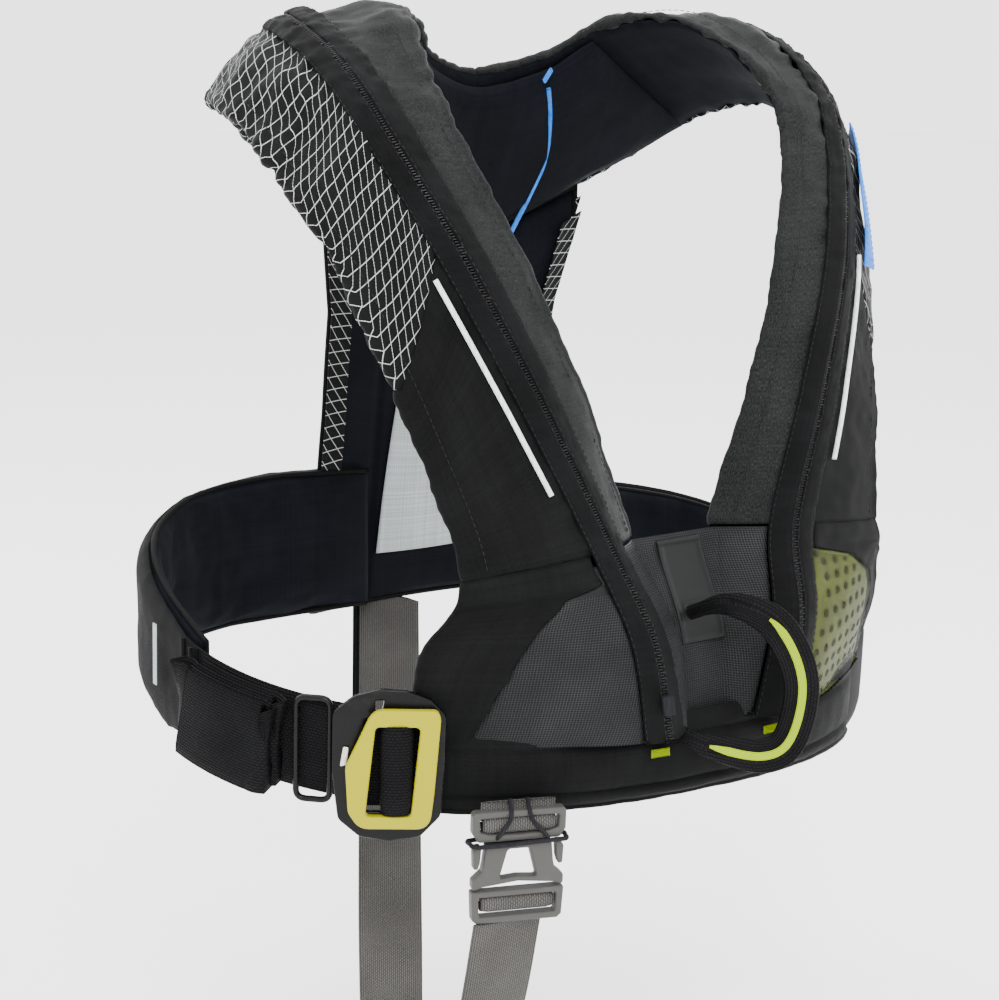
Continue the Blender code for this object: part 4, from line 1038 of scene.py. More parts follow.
def build_lining():
    """Body side of the horseshoe: a soft liner per side that turns up at its edges, and the bladder."""
    almost = SPINE + 0.002
    for side, word in ((RIGHT, "right"), (LEFT, "left")):
        grid = [[horseshoe(side, float(t), float(v), 0.5 * MM) for v in np.linspace(0, 1, 14)]
                for t in np.linspace(TUCK, almost, 190)]
        grid = ruffled(grid, side == LEFT, 1.0 * MM, 0.3 * MM, 0.8 * MM, -0.4 * MM, side * 4,
                       shoulder_gather(0, almost, 6.5, 2, 1.6))
        piece = sheet_piece("body_liner_" + word, grid, "lining", 1.6 * MM, side == LEFT)
        finish_piece(piece, "jacket", "lining", "liner_" + word)
    low = LINER + 2.0 * MM
    count = 150
    shares = np.linspace(0.14, 0.86, 10)
    rows = []
    for t in np.linspace(2.15, 2 * SPINE - 2.15, count):
        t = float(t)
        half = t if t <= SPINE else 2 * SPINE - t
        top = [half_of_back(t, float(v),
                            max(low + 1 * MM, cover_height(half, float(v)) - COVER - 5.6 * MM
                                - 1.2 * MM * (k % 2))) for k, v in enumerate(shares)]
        bottom = [half_of_back(t, float(v), low) for v in shares[::-1]]
        rows.append(top + bottom)
    rows = np.array(rows)
    columns = rows.shape[1]
    faces = grid_faces(count, columns, False, True)
    faces.append(tuple(range(columns)))
    faces.append(tuple((count - 1) * columns + k for k in reversed(range(columns))))
    piece = add_mesh("folded_bladder", rows.reshape(-1, 3), faces, "bladder", grid_uv(rows).reshape(-1, 2))
    finish_piece(piece, "jacket", "bladder", "bladder")


def build_centre_front():
    reach = band_edge(-1, -1 * MM)
    grid = []
    for t in np.linspace(TUCK, 1.98, 80):
        t = float(t)
        half = [horseshoe(LEFT, t, float(v), cover_height(t, float(v)) - 0.4 * MM)
                for v in np.linspace(0, reach(t), 14)]
        grid.append([p * np.array((-1, 1, 1)) for p in half[:0:-1]] + half)
    grid = ruffled(grid, False, 0.7 * MM, 0.1 * MM, 0.4 * MM, 0.8 * MM, 9)
    piece = sheet_piece("centre_front_net", grid, "net", 1.2 * MM)
    finish_piece(piece, "jacket", "net", "centre_front_panel")


# ------------------------------------------------------------ trim, patch and loop in front

def surface_line(side, places, lift, count=10):
    """A smooth line on the cover through (station, share) places, with its outward normals."""
    line = smooth_line([np.array((t, v, 0.0)) for t, v in places], count)
    points = [horseshoe(side, float(t), float(v), cover_height(float(t), float(v)) + lift)
              for t, v, _ in line]
    normals = [edges(float(t))[2] * np.array((side, 1, 1)) for t, _, _ in line]
    return points, normals


def build_trim():
    for side, word in ((RIGHT, "right"), (LEFT, "left")):
        places = [(t, band_edge(1, 6.0 * MM)(t)) for t in np.linspace(2.5, 3.86, 12)]
        points, normals = surface_line(side, places, 1.1 * MM, 6)
        piping = oval_tube("reflective_piping_line_" + word, points, (2.6 * MM, 2.6 * MM), "white_piping")
        finish_piece(piping, "jacket", "reflective", "reflective_piping_" + word)
        lines = []
        for t_span, share in (((2.05, 8.9), 0.055), ((2.05, 8.9), 0.93)):
            lines.append(surface_line(side, [(t, share) for t in np.linspace(*t_span, 40)], 0.3 * MM, 4))
        finish_piece(thread_pieces("edge_stitches_" + word, lines), "jacket", "cover")

    start, end = 3.78, 4.85
    grid = [[horseshoe(LEFT, float(t), float(v),
                       cover_height(float(t), float(v)) + 5.6 * MM
                       + 0.5 * MM * math.sin(t * 9) * (v - 0.8) * 5) for v in np.linspace(0.6, 0.86, 12)]
            for t in np.linspace(start, end, 40)]
    tab = sheet_piece("side_tab", grid, "blue", 1.2 * MM)
    bevel = tab.modifiers.new("soft edge", "BEVEL")
    bevel.width, bevel.segments, bevel.limit_method = 0.45 * MM, 2, "ANGLE"
    finish_piece(tab, "jacket", "blue", "blue_tab")
    grid = np.array(grid)
    normals = grid_normals(grid, False)
    lines = [(grid[:, c], normals[:, c]) for c in (1, 10)] + [(grid[r], normals[r]) for r in (2, 37)]
    finish_piece(thread_pieces("side_tab_stitches", lines, "blue"), "jacket", "blue")


def build_patch():
    """Rubber patch on the centre front: a raised rim, a sunk field and a slot for the loop."""
    half_width, out = 14.5 * MM, ROLLED_EDGE + 1.2 * MM
    ts = np.linspace(0.85, 1.93, 60)
    columns = 25
    grid = []
    line = [horseshoe(LEFT, float(t), 0.0, out) for t in ts]
    lengths = np.concatenate(([0], np.cumsum(np.linalg.norm(np.diff(np.array(line), axis=0), axis=1))))
    for i, p in enumerate(line):
        row = []
        for x in np.linspace(-half_width, half_width, columns):
            y = lengths[i]
            rim = min(half_width - abs(x), y, lengths[-1] - y)
            lift = 1.7 * MM
            if rim > 2.0 * MM:
                lift -= 0.8 * MM * min((rim - 2.0 * MM) / (0.8 * MM), 1)
            lift -= 1.6 * MM * max(0, 1 - rim / (0.9 * MM)) ** 2
            slot = max(abs(x) - 8 * MM, abs(y - 0.34 * lengths[-1]) - 2.2 * MM)
            lift += 0.7 * MM * math.exp(-(slot / (0.8 * MM)) ** 2) if rim > 2.5 * MM else 0
            row.append(np.array((x, p[1], p[2])) + np.array((0, -1, 0.25)) * lift)
        grid.append(row)
    patch = sheet_piece("rubber_front_patch", grid, "rubber", 1.4 * MM)
    finish_piece(patch, "jacket", "rubber", "label_patch")


def build_chest_loop():
    """Tubular webbing loop, round at its ends and flat in the middle, with a bright stripe."""
    route = smooth_line([place(*p) for p in LOOP_ROUTE], 12)
    count = len(route)
    share = np.linspace(0, 1, count)
    full = np.clip(np.sin(np.pi * np.clip((share - 0.06) / 0.88, 0, 1)) * 1.35, 0, 1)
    sizes = np.stack((7.5 + 10.5 * full, 6.4 - 2.4 * full), axis=1) * MM
    along = np.gradient(np.array(route), axis=0)
    outward = np.broadcast_to(LOOP_FACE, np.array(route).shape)
    across = np.cross(along, outward)
    across /= np.linalg.norm(across, axis=1, keepdims=True)
    loop = oval_tube("chest_loop_webbing", route, sizes, "webbing_black", across, 20)
    finish_piece(loop, "chest_loop", "webbing_black", "chest_loop")
    along /= np.linalg.norm(along, axis=1, keepdims=True)
    across = across - along * np.sum(across * along, axis=1, keepdims=True)
    across /= np.linalg.norm(across, axis=1, keepdims=True)
    up = np.cross(along, across)
    if np.dot(up[count // 2], outward[count // 2]) < 0:
        up = -up
    middle_rows = slice(int(count * 0.27), int(count * 0.86))
    line = np.array(route) + up * (sizes[:, 1:2] / 2 + 0.25 * MM)
    widths = 4.2 * MM * np.clip(np.sin(np.pi * np.linspace(0.04, 0.96, len(line[middle_rows]))) * 3, 0.35, 1)
    stripe = strap_piece("loop_bright_stripe", line[middle_rows], across[middle_rows], widths, 0.9 * MM,
                         "yellow_thread", 0.0)
    finish_piece(stripe, "chest_loop", "yellow_thread", "chest_loop_stripe")


def zigzag_bar(name, at, turn, size, tilt=0.0):
    """A bar tack: close zigzag stitches over a base of thread."""
    to_world = mount(at, turn)
    count = int(size[0] / (0.55 * MM))
    points = []
    for k in range(count * 2 + 1):
        x = (k / (count * 2) - 0.5) * size[0]
        z = size[1] / 2 * (1 if k % 2 else -1)
        points.append(to_world @ Vector((x, -0.3 * MM, z + x * tilt)))
    top = oval_tube(name, points, (0.62 * MM, 0.62 * MM), "yellow_thread", sides=6)
    base_points = [to_world @ Vector((x, 0.0, x * tilt)) for x in np.linspace(-size[0] / 2, size[0] / 2, 12)]
    base = oval_tube(name + "_base", base_points, (size[1], 0.9 * MM), "yellow_thread",
                     np.array(to_world.to_3x3() @ Vector((0, 0, 1))), 12)
    return top, base


def build_bar_tacks():
    for side, word in ((RIGHT, "right"), (LEFT, "left")):
        low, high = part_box("bar_tack_" + word)
        at = np.array((low + high) / 2)
        top, base = zigzag_bar("bar_tack_zigzag_" + word, at, ring_turn(180 - side * 9),
                               (10.5 * MM, 4.4 * MM))
        finish_piece(top, "jacket", "yellow_thread", "bar_tack_" + word)
        finish_piece(base, "jacket", "yellow_thread")


# ------------------------------------------------------------ back, collar, belt pads, lower band

PAD_COLUMNS = 44  # points across a belt pad
REFERENCE = (0.0, -0.02, -0.2)  # a point inside the chest, which every pad's outer side faces away from


def back_half(down):
    k = min(int(down * 4), 3)
    share = down * 4 - k
    return (BACK_WIDTHS[k] * (1 - share) + BACK_WIDTHS[k + 1] * share) / 220 * CHEST_WIDTH / 2 * 1.02


def back_point(u, down, out):
    top = half_of_back(SPINE + BACK_TOP_REACH * u, 1, 0)
    top[2] -= 3 * FIT + 4 * MM
    deep = ring(0)[1] - WEBBING / 2 - 2 * FIT
    y = top[1] - FIT + (deep - top[1] + FIT) * math.sin(down * math.pi / 2) - BACK_PAD
    y -= BACK_PAD_BULGE * u ** 2 * down
    z = top[2] + (place(0, 0, 91)[2] - top[2]) * down
    return np.array((-back_half(down) * u, y + out, z))


def bound_edge(name, line, radius, material="tape", closed=True):
    line = [np.array(p) for p in line]
    if closed:
        line = line + line[:2]
    step = max(1, len(line) // 260)
    return oval_tube(name, line[::step], (radius * 2, radius * 2), material, sides=8, caps=not closed)


def build_back():
    def face(u, v):
        point = back_point(u * 2 - 1, v, 0.0)
        tuck = max(0, 1 - v / 0.04)
        return point + np.array((0, 3.5, 9)) * MM * tuck
    pad, rim, _ = pad_piece("back_panel_pad", face, REFERENCE, BACK_PAD, "lining", 90, 70, 0.07,
                                          (0.24, 0.76), 0.5, 1.0, 1.0 * MM)
    soften(pad, 1.2 * MM, 2.5)
    finish_piece(pad, "jacket", "lining", "back_pad")
    outer = np.array([[back_point(u, v, BACK_PAD + 2.6 * MM) for u in np.linspace(-1.03, 1.03, 40)]
                      for v in np.linspace(-0.005, 1.0, 60)])
    for i in range(len(outer)):
        for j in (0, 1, -2, -1):
            outer[i, j, 1] -= (6.5 if j in (0, -1) else 2.0) * MM
    skin = sheet_piece("back_panel_shell", ruffled(outer, True, 1.0 * MM, 0.3 * MM, 0.8 * MM, 0.3 * MM, 5),
                       "grid", 0.8 * MM, True)
    finish_piece(skin, "jacket", "ripstop")
    finish_piece(bound_edge("back_panel_binding", rim, 1.7 * MM), "jacket", "cover")
    for side, word in ((RIGHT, "right"), (LEFT, "left")):
        strip = [[back_point(-side * u, v, float(np.interp(u, (0.86, 1.02), (-3.0, 0.6))) * MM)
                  for u in np.linspace(0.86, 1.03, 9)] for v in np.linspace(0.03, 0.8, 60)]
        strip = ruffled(strip, side == RIGHT, 0.6 * MM, 0.2 * MM, 0.3 * MM, 0.5 * MM, 6)
        piece = sheet_piece("back_edge_strip_" + word, strip, "grid", 0.7 * MM, side == RIGHT)
        finish_piece(piece, "jacket", "ripstop")

    def collar(u, v):
        return half_of_back(SPINE - 1.75 + 3.5 * u, 0.02 + 0.96 * v, -BACK_PAD - FIT)
    pad, rim, _ = pad_piece("collar_roll", collar, (0, -0.2, -0.3), BACK_PAD - FIT, "lining", 26, 110, 0.1,
                            (), 0.4, 2.0, 1.2 * MM, True)
    soften(pad, 3 * MM, 2.5)
    finish_piece(pad, "jacket", "lining", "collar_pad")

    places = ((8.15, 0.12), (8.25, 0.35), (8.36, 0.6), (8.5, 0.8), (8.62, 0.99))
    line = smooth_line([horseshoe(LEFT, t, v, -(BACK_PAD + FIT + 2.4 * MM)) for t, v in places], 10)
    piping = oval_tube("blue_piping_line", line, (2.8 * MM, 2.4 * MM), "blue", sides=12)
    finish_piece(piping, "jacket", "blue", "blue_piping")
    bar = smooth_line([horseshoe(LEFT, t, v, -(BACK_PAD + FIT + 2.2 * MM))
                       for t, v in ((8.17, 0.06), (8.0, -0.01))], 8)
    finish_piece(oval_tube("collar_blue_bar", bar, (4.0 * MM, 1.4 * MM), "blue", (0.3, 0.1, 1), 12),
                 "jacket", "blue")

    def patch_row(down, half):
        return [back_point(x / back_half(down), down, -2.4 * MM) for x in np.linspace(-half, half, 24)]
    rows = [patch_row(float(d), float(np.interp(d, (0.38, 0.86), (25, 34))) * MM)
            for d in np.linspace(0.40, 0.86, 40)]
    patch = sheet_piece("reflective_back_patch", rows, "reflective", 0.6 * MM, False)
    finish_piece(patch, "jacket", "reflective", "reflective_patch")
    for k, down in enumerate((0.384, 0.366, 0.348, 0.330)):
        half = float(np.interp(down, (0.3, 0.4), (22, 24.5))) * MM
        line = [back_point(x / back_half(down), down, -2.3 * MM) for x in np.linspace(-half, half, 10)]
        name, material = (("reflective_bar_%d" % k, "reflective") if k < 3 else ("blue_bar", "blue"))
        strip = strap_piece(name, line, (0, 0, 1), (1.9 - 0.35 * k) * MM, 0.6 * MM, material, 0.0)
        finish_piece(strip, "jacket", "reflective" if k < 3 else "blue")


def soften(pad, cap, pressure):
    """Fill a pad with cloth simulation, and let no point move further than cap."""
    mesh = pad.data
    count = len(mesh.vertices)
    before = np.zeros(count * 3)
    mesh.vertices.foreach_get("co", before)
    before = before.reshape(-1, 3)
    cloth = pad.modifiers.new("filling", "CLOTH")
    settings = cloth.settings
    settings.quality = 4
    settings.mass = 0.2
    settings.use_pressure = True
    settings.uniform_pressure_force = pressure
    settings.tension_stiffness = settings.compression_stiffness = 12
    settings.shear_stiffness = 4
    settings.bending_stiffness = 0.4
    settings.effector_weights.gravity = 0
    cloth.collision_settings.use_collision = False
    scene = bpy.context.scene
    for step in range(1, 16):
        scene.frame_set(step)
    shape = pad.evaluated_get(bpy.context.evaluated_depsgraph_get()).to_mesh()
    after = np.zeros(count * 3)
    shape.vertices.foreach_get("co", after)
    after = after.reshape(-1, 3)
    moved = after - before
    length = np.linalg.norm(moved, axis=1, keepdims=True)
    moved *= np.minimum(1, cap / np.maximum(length, 1e-9))
    pad.modifiers.remove(cloth)
    mesh.vertices.foreach_set("co", (before + moved).ravel())
    mesh.update()
    scene.frame_set(1)


def wing_limits(side, angle):
    """Bottom and top of the belt pad at an angle of the waist ring."""
    above = BELT_PAD_ABOVE if side == RIGHT else BELT_WIDTH / 2 + FIT
    low, high = 24.5 * MM, 24.5 * MM
    top = float(np.interp(angle, (10, 26, 40, 58, 76, 94), (1.25, 1.32, 1.12, 0.72, 0.3, -0.04)))
    bottom = float(np.interp(angle, (10, 30, 60, 80, 94), (0.8, 1.0, 1.0, 0.9, 0.0)))
    return -(low + (BELT_PAD_BELOW - low) * bottom), high + (above - high) * top


def wing_inward(side, angle):
    """How far the right belt pad runs in under the back pad at its rear end."""
    return float(np.interp(angle, (10, 18, 26, 34, 42), (17, 14, 9, 3, 0))) * MM if side == RIGHT else 0.0


def build_belt_pads():
    web = WEBBING / 2
    for side, word in ((RIGHT, "right"), (LEFT, "left")):
        start, end = (12 if side == RIGHT else 20), 94

        def face(u, v, lift=0.0):
            angle = start + (end - start) * v
            low, high = wing_limits(side, angle)
            reach = web + FIT + BELT_PAD + wing_inward(side, angle)
            return ring(side * angle, lift - reach, low + (high - low) * u)
        pad, rim, _ = pad_piece("belt_wing_pad_" + word, face, REFERENCE, BELT_PAD - 1 * MM, "lining", 120,
                                PAD_COLUMNS, 0.12, (), 0.4, side * 1.0 + 4, 1.5 * MM, True)
        folds(pad, side)
        soften(pad, 3 * MM, 2.5)
        finish_piece(pad, "jacket", "lining", "belt_pad_" + word)
        finish_piece(bound_edge("belt_wing_binding_" + word, rim[PAD_COLUMNS - 1:] + rim[:1], 1.6 * MM,
                                "tape", False), "jacket", "cover")

        def shell_out(a, z, side=side, start=start):
            """The shell closes onto the pad above and below the webbing, and at its rear end."""
            low, high = wing_limits(side, a)
            room = float(np.interp(high, (0.024, 0.036), (0, 1)))
            near = min(high - z, z - low)
            closed = max((1 - min(near / (13 * MM), 1)) ** 2 * room, (1 - min((a - start) / 8, 1)) ** 2)
            return web + FIT + 0.9 * MM - closed * (web + FIT + 5 * MM + wing_inward(side, a))
        sleeve = [[ring(side * a, shell_out(a, z), z) for z in np.linspace(*wing_limits(side, a), 26)]
                  for a in np.linspace(start, end + 1.5, 100)]
        sleeve = ruffled(sleeve, side == RIGHT, 1.3 * MM, 0.3 * MM, 0.5 * MM, 0.5 * MM, side * 2)
        piece = sheet_piece("belt_wing_shell_" + word, sleeve, "cover", 1.1 * MM, side == RIGHT)
        finish_piece(piece, "jacket", "cover", "belt_sleeve_" + word)
        bar = [ring(side * (end - 15 + 0.02 * k), web + FIT + 3.9 * MM, z)
               for k, z in enumerate(np.linspace(-15 * MM, 18 * MM, 12))]
        strip = strap_piece("wing_reflective_bar_" + word, bar, ring(side * 80) - ring(side * 78), 4.6 * MM,
                            0.7 * MM, "reflective", 0.0)
        finish_piece(strip, "jacket", "reflective")
        for k, (offset, out) in enumerate(((0.0, 2.6 * MM), (3.4, 1.9 * MM))):
            angle = end + 0.5 - offset
            low, high = wing_limits(side, angle)
            hem = [ring(side * angle, web + FIT + out + 0.5 * MM * noise.noise(Vector((z * 90, k, side))), z)
                   for z in np.linspace(low, high, 30)]
            finish_piece(oval_tube(f"wing_hem_{k}_{word}", hem, (3.0 * MM, 2.0 * MM), "cover",
                                   ring(side * 95) - ring(side * 93), 10), "jacket", "cover")


def folds(pad, side):
    """Soft upright folds in the wing where it bends round the waist."""
    for vertex in pad.data.vertices:
        angle = math.degrees(math.atan2(vertex.co.x, -(vertex.co.y + 0.016) * -1))
        wave = noise.noise(Vector((abs(angle) * 0.13, vertex.co.z * 4.0, side)))
        outward = Vector((vertex.co.x, vertex.co.y + 0.016, 0)).normalized()
        vertex.co -= outward * 2.4 * MM * max(0, wave + 0.15)


def build_lower_band():
    bottom = float(place(0, 0, 100)[2])
    columns, rows = 150, 32

    def drop(angle):
        """The left lobe hangs lower than the right."""
        return 7 * MM * max(0, math.sin(math.radians(180 - angle)) / math.sin(math.radians(BAND_HALF_ANGLE)))
    grid = []
    for k in range(rows):
        s = k / (rows - 1)
        row = []
        for angle in np.linspace(180 - BAND_HALF_ANGLE, 180 + BAND_HALF_ANGLE, columns):
            angle = float(angle)
            away = abs(angle - 180) / BAND_HALF_ANGLE
            taper = 1 - 0.65 * away ** 2 - 0.25 * away ** 8
            full = 0.58 + 0.44 * math.sin(math.pi * min(1, 0.15 + s * 0.75)) ** 0.7
            if s < 0.1:
                full *= 0.8 + 0.2 * s / 0.1
            groove = 1 - 0.16 * math.exp(-((s - 0.2) / 0.03) ** 2) - 0.1 * math.exp(-((s - 0.74) / 0.03) ** 2)
            point = ring(angle, BAND_INNER + (BAND_OUTER - BAND_INNER) * taper * full * groove)
            z = bottom + BAND_HEIGHT * 1.34 * s - 1.5 * MM - drop(angle) * (1 - s) + 3 * MM * s
            row.append(np.array((point[0], point[1], z)))
        grid.append(row)
    grid = ruffled(grid, True, 1.6 * MM, 0.3 * MM, 0.5 * MM, 0.4 * MM, 11)
    band = sheet_piece("lower_band_cover", grid, "cover", 1.2 * MM, True)
    angles = np.linspace(180 - BAND_HALF_ANGLE, 180 + BAND_HALF_ANGLE, columns)
    inner = [ring(float(a), BAND_INNER * 0.6) for a in angles]
    back_rows = []
    for k in range(8):
        z = bottom - 1.5 * MM + BAND_HEIGHT * 1.4 * k / 7
        back_rows.append([np.array((p[0], p[1], z - drop(a) * (1 - k / 7))) for p, a in zip(inner, angles)])
    back = sheet_piece("lower_band_lining",
                       ruffled(back_rows, False, 0.8 * MM, 0.3 * MM, 0.4 * MM, 0.3 * MM, 12), "lining",
                       1.2 * MM, False)
    finish_piece(band, "jacket", "cover", "lower_band")
    finish_piece(back, "jacket", "lining")
    outer_line, inner_line = np.array(grid[0]), np.array(back_rows[0])
    floor = np.stack([inner_line + (outer_line - inner_line) * s for s in np.linspace(0, 1, 8)])
    floor[1:-1, :, 2] -= 1.2 * MM
    finish_piece(sheet_piece("lower_band_underside", floor, "cover", 1.0 * MM, True), "jacket", "cover")
    finish_piece(bound_edge("lower_band_hem", outer_line, 1.5 * MM, "tape", False), "jacket", "cover")


# ------------------------------------------------------------ belt, waist buckle and slide

def build_belt():
    web = WEBBING / 2
    up = (0, 0, 1)

    def line(start, end, out, count):
        return [ring(float(a), out, 0.0) for a in np.linspace(start, end, count)]
    belt = strap_piece("waist_webbing", line(150, -128, 0.0, 256), up, BELT_WIDTH, WEBBING, "webbing_black",
                       0.5 * MM)
    finish_piece(belt, "jacket", "webbing_black", "belt_webbing")
    back_layer = strap_piece("waist_webbing_return", line(-114, -129, web + FIT + WEBBING / 2, 30), up,
                             BELT_WIDTH, WEBBING, "webbing_black", 0.3 * MM)
    finish_piece(back_layer, "jacket", "webbing_black", "belt_return")

    start, end = -96.5, -115.6
    layers = ((start, end, 4.5), (end, start + 0.6, 8.0), (start + 0.6, end + 1.0, 11.5),
              (end + 1.0, start - 0.4, 14.5))
    path = []
    for k, (a, b, out) in enumerate(layers):
        for s in np.linspace(0.04, 0.96, 16):
            path.append(ring(a + (b - a) * s, web + out * MM, -0.9 * MM * k))
        if k < len(layers) - 1:
            next_out = layers[k + 1][2]
            turn_way = -1 if k % 2 == 0 else 1
            path.append(ring(b + turn_way * 0.8, web + (out + next_out) / 2 * MM, -0.9 * MM * (k + 0.5)))
    tail = strap_piece("folded_belt_tail", smooth_line(path, 3), up, BELT_WIDTH, 1.7 * MM, "webbing_black",
                       0.25 * MM, 3.0)
    finish_piece(tail, "jacket", "webbing_black", "belt_tail_fold")


def plate(name, outline, holes, thickness, rounding, material, matrix, corner=3 * MM, bow=0.0):
    """A flat plate with rounded corners, holes and rounded edges, facing the mount's -Y."""
    curve = bpy.data.curves.new(name, "CURVE")
    curve.dimensions = "2D"
    curve.fill_mode = "BOTH"
    curve.extrude = thickness / 2 - rounding
    curve.bevel_depth = rounding
    curve.bevel_resolution = 3
    curve.offset = -rounding
    for points, radius in [(outline, corner)] + [(hole, hole_corner) for hole, hole_corner in holes]:
        points = rounded_outline(points, radius)
        spline = curve.splines.new("POLY")
        spline.use_cyclic_u = True
        spline.points.add(len(points) - 1)
        for target, (x, z) in zip(spline.points, points):
            target.co = (x, z, 0, 1)
    made = bpy.data.objects.new(name, curve)
    bpy.context.scene.collection.objects.link(made)
    bpy.context.view_layer.update()
    mesh = bpy.data.meshes.new_from_object(made.evaluated_get(bpy.context.evaluated_depsgraph_get()))
    bpy.data.objects.remove(made)
    mesh.name = name
    bm = bmesh.new()
    bm.from_mesh(mesh)
    bmesh.ops.remove_doubles(bm, verts=bm.verts, dist=0.01 * MM)
    bmesh.ops.triangulate(bm, faces=bm.faces)
    bmesh.ops.recalc_face_normals(bm, faces=bm.faces)
    bm.to_mesh(mesh)
    bm.free()
    turn = matrix @ Matrix.Rotation(math.radians(90), 4, "X")
    if bow:
        for vertex in mesh.vertices:
            vertex.co.z += bow * (vertex.co.x / (30 * MM)) ** 2
    mesh.transform(turn)
    mesh.materials.clear()
    mesh.materials.append(MATERIALS[material])
    mesh.shade_smooth()
    mesh.set_sharp_from_angle(angle=math.radians(32))
    made = bpy.data.objects.new(name, mesh)
    bpy.context.scene.collection.objects.link(made)
    return made


def rounded_outline(points, radius, steps=7):
    """Corners of a polygon rounded by arcs; radius is one number or one per corner."""
    radii = radius if isinstance(radius, (list, tuple)) else [radius] * len(points)
    result = []
    count = len(points)
    for k, (point, r) in enumerate(zip(points, radii)):
        p = np.array(point, float)
        a = np.array(points[k - 1], float) - p
        b = np.array(points[(k + 1) % count], float) - p
        la, lb = np.linalg.norm(a), np.linalg.norm(b)
        a, b = a / la, b / lb
        half = max(math.acos(max(-1, min(1, float(np.dot(a, b))))) / 2, 0.05)
        reach = min(r / math.tan(half), la * 0.49, lb * 0.49)
        for s in np.linspace(0, 1, steps):
            first, second = p + a * reach, p + b * reach
            result.append(tuple((1 - s) ** 2 * first + 2 * s * (1 - s) * p + s ** 2 * second))
    return result


def mm_points(*pairs):
    return [(x * MM, z * MM) for x, z in pairs]


def build_waist_buckle():
    at = mount(ring(BUCKLE_ANGLE, FRAME_STANDOFF, BUCKLE_RISE), ring_turn(BUCKLE_ANGLE))
    shift = Matrix.Translation
    frame_outline = mm_points((-27.5, 27), (-17, 35.5), (-4, 39), (8, 38.5), (20, 34), (27.5, 26),
                              (27.5, 0), (26, -26), (16, -37), (0, -39.3), (-14, -37), (-24.5, -28),
                              (-27.5, -4))
    base = plate("buckle_back_plate", frame_outline,
                 [(mm_points((-12, 24), (19, 24), (19, -24), (-12, -24)), 3 * MM),
                  (mm_points((-6.5, 33.2), (-2.5, 33.6), (-3.5, 28), (-6.5, 28)), 0.7 * MM)], 4 * MM,
                 0.9 * MM, "black_metal", at @ shift((0, -2 * MM, 0)), 6 * MM)
    finish_piece(base, "jacket", "black_metal", "buckle_frame")

    hook_outline = mm_points((-10, 30.5), (21.5, 30.5), (23, 26), (20.5, -12), (18.5, -30.5), (-16, -30.5),
                             (-21.5, -22), (-23, 1))
    hook = plate("buckle_hook_plate", [(x + 2 * MM, z) for x, z in hook_outline],
                 [(mm_points((-6.5, 22), (15.2, 22), (11.2, -24), (-11, -24)), 2.6 * MM)],
                 5 * MM, 1.2 * MM, "yellow_paint", at @ shift((0, -8.5 * MM, 0)),
                 [9 * MM, 7 * MM, 5 * MM, 6 * MM, 8 * MM, 9 * MM, 8 * MM, 6 * MM])
    finish_piece(hook, "buckle_plate", "yellow_paint", "buckle_plate")
    clip_at = at @ shift((-21.5 * MM, -5 * MM, 5 * MM))
    clip = plate("spring_clip_tongue", mm_points((-2.2, -5), (1.5, -4), (2.2, 5), (-0.6, 5.4)), [],
                 1.3 * MM, 0.4 * MM, "steel", clip_at, 0.8 * MM)
    finish_piece(clip, "jacket", "steel", "buckle_spring_clip")

    across = np.array(at.to_3x3() @ Vector((0, 0, 1)))
    slot_x = 4.0
    roll = []
    for a in np.linspace(-75, 255, 26):
        a = math.radians(a)
        roll.append(at @ Vector(((slot_x + 7.0 * math.cos(a)) * MM, (-7.6 - 4.1 * math.sin(a)) * MM,
                                 (1 - math.cos(a)) * -0.3 * MM)))
    piece = strap_piece("hook_webbing_roll", roll, across, 45.5 * MM, WEBBING, "webbing_black", 0.15 * MM)
    finish_piece(piece, "buckle_plate", "webbing_black", "buckle_roll")
    depth = (FIT + WEBBING / 2) / MM
    flat = [at @ Vector((x * MM, depth * MM, 0)) for x in (-14.0, -6.0, 2.0, 10.0, 16.0, 21.0)]
    piece = strap_piece("buckle_anchor_webbing", flat, across, 45 * MM, WEBBING, "webbing_black", 0.1 * MM)
    finish_piece(piece, "jacket", "webbing_black", "buckle_webbing")


def build_slide():
    """A bent wire frame that the belt is threaded through."""
    at = mount(ring(SLIDE_ANGLE, WEBBING * 1.5 + 3 * FIT + 1.8 * MM), ring_turn(SLIDE_ANGLE))
    half_x, half_z = 8.6 * MM, 26.4 * MM
    outline = rounded_outline([(-half_x, -half_z), (half_x, -half_z), (half_x, half_z), (-half_x, half_z)],
                              5 * MM, 8)
    points = []
    for k in range(len(outline)):
        a, b = np.array(outline[k]), np.array(outline[(k + 1) % len(outline)])
        steps = max(int(np.linalg.norm(b - a) / (2 * MM)), 1)
        points += [tuple(a + (b - a) * s / steps) for s in range(steps)]
    points = points + points[:2]
    route = [at @ Vector((x, 0.0, z)) for x, z in points]
    wire = oval_tube("slide_wire", route, (3.7 * MM, 3.2 * MM), "black_metal",
                     np.array(at.to_3x3() @ Vector((0, 1, 0))), 14, caps=False)
    finish_piece(wire, "belt_slide", "black_metal", "belt_slide")


# ------------------------------------------------------------ crotch strap and its buckle

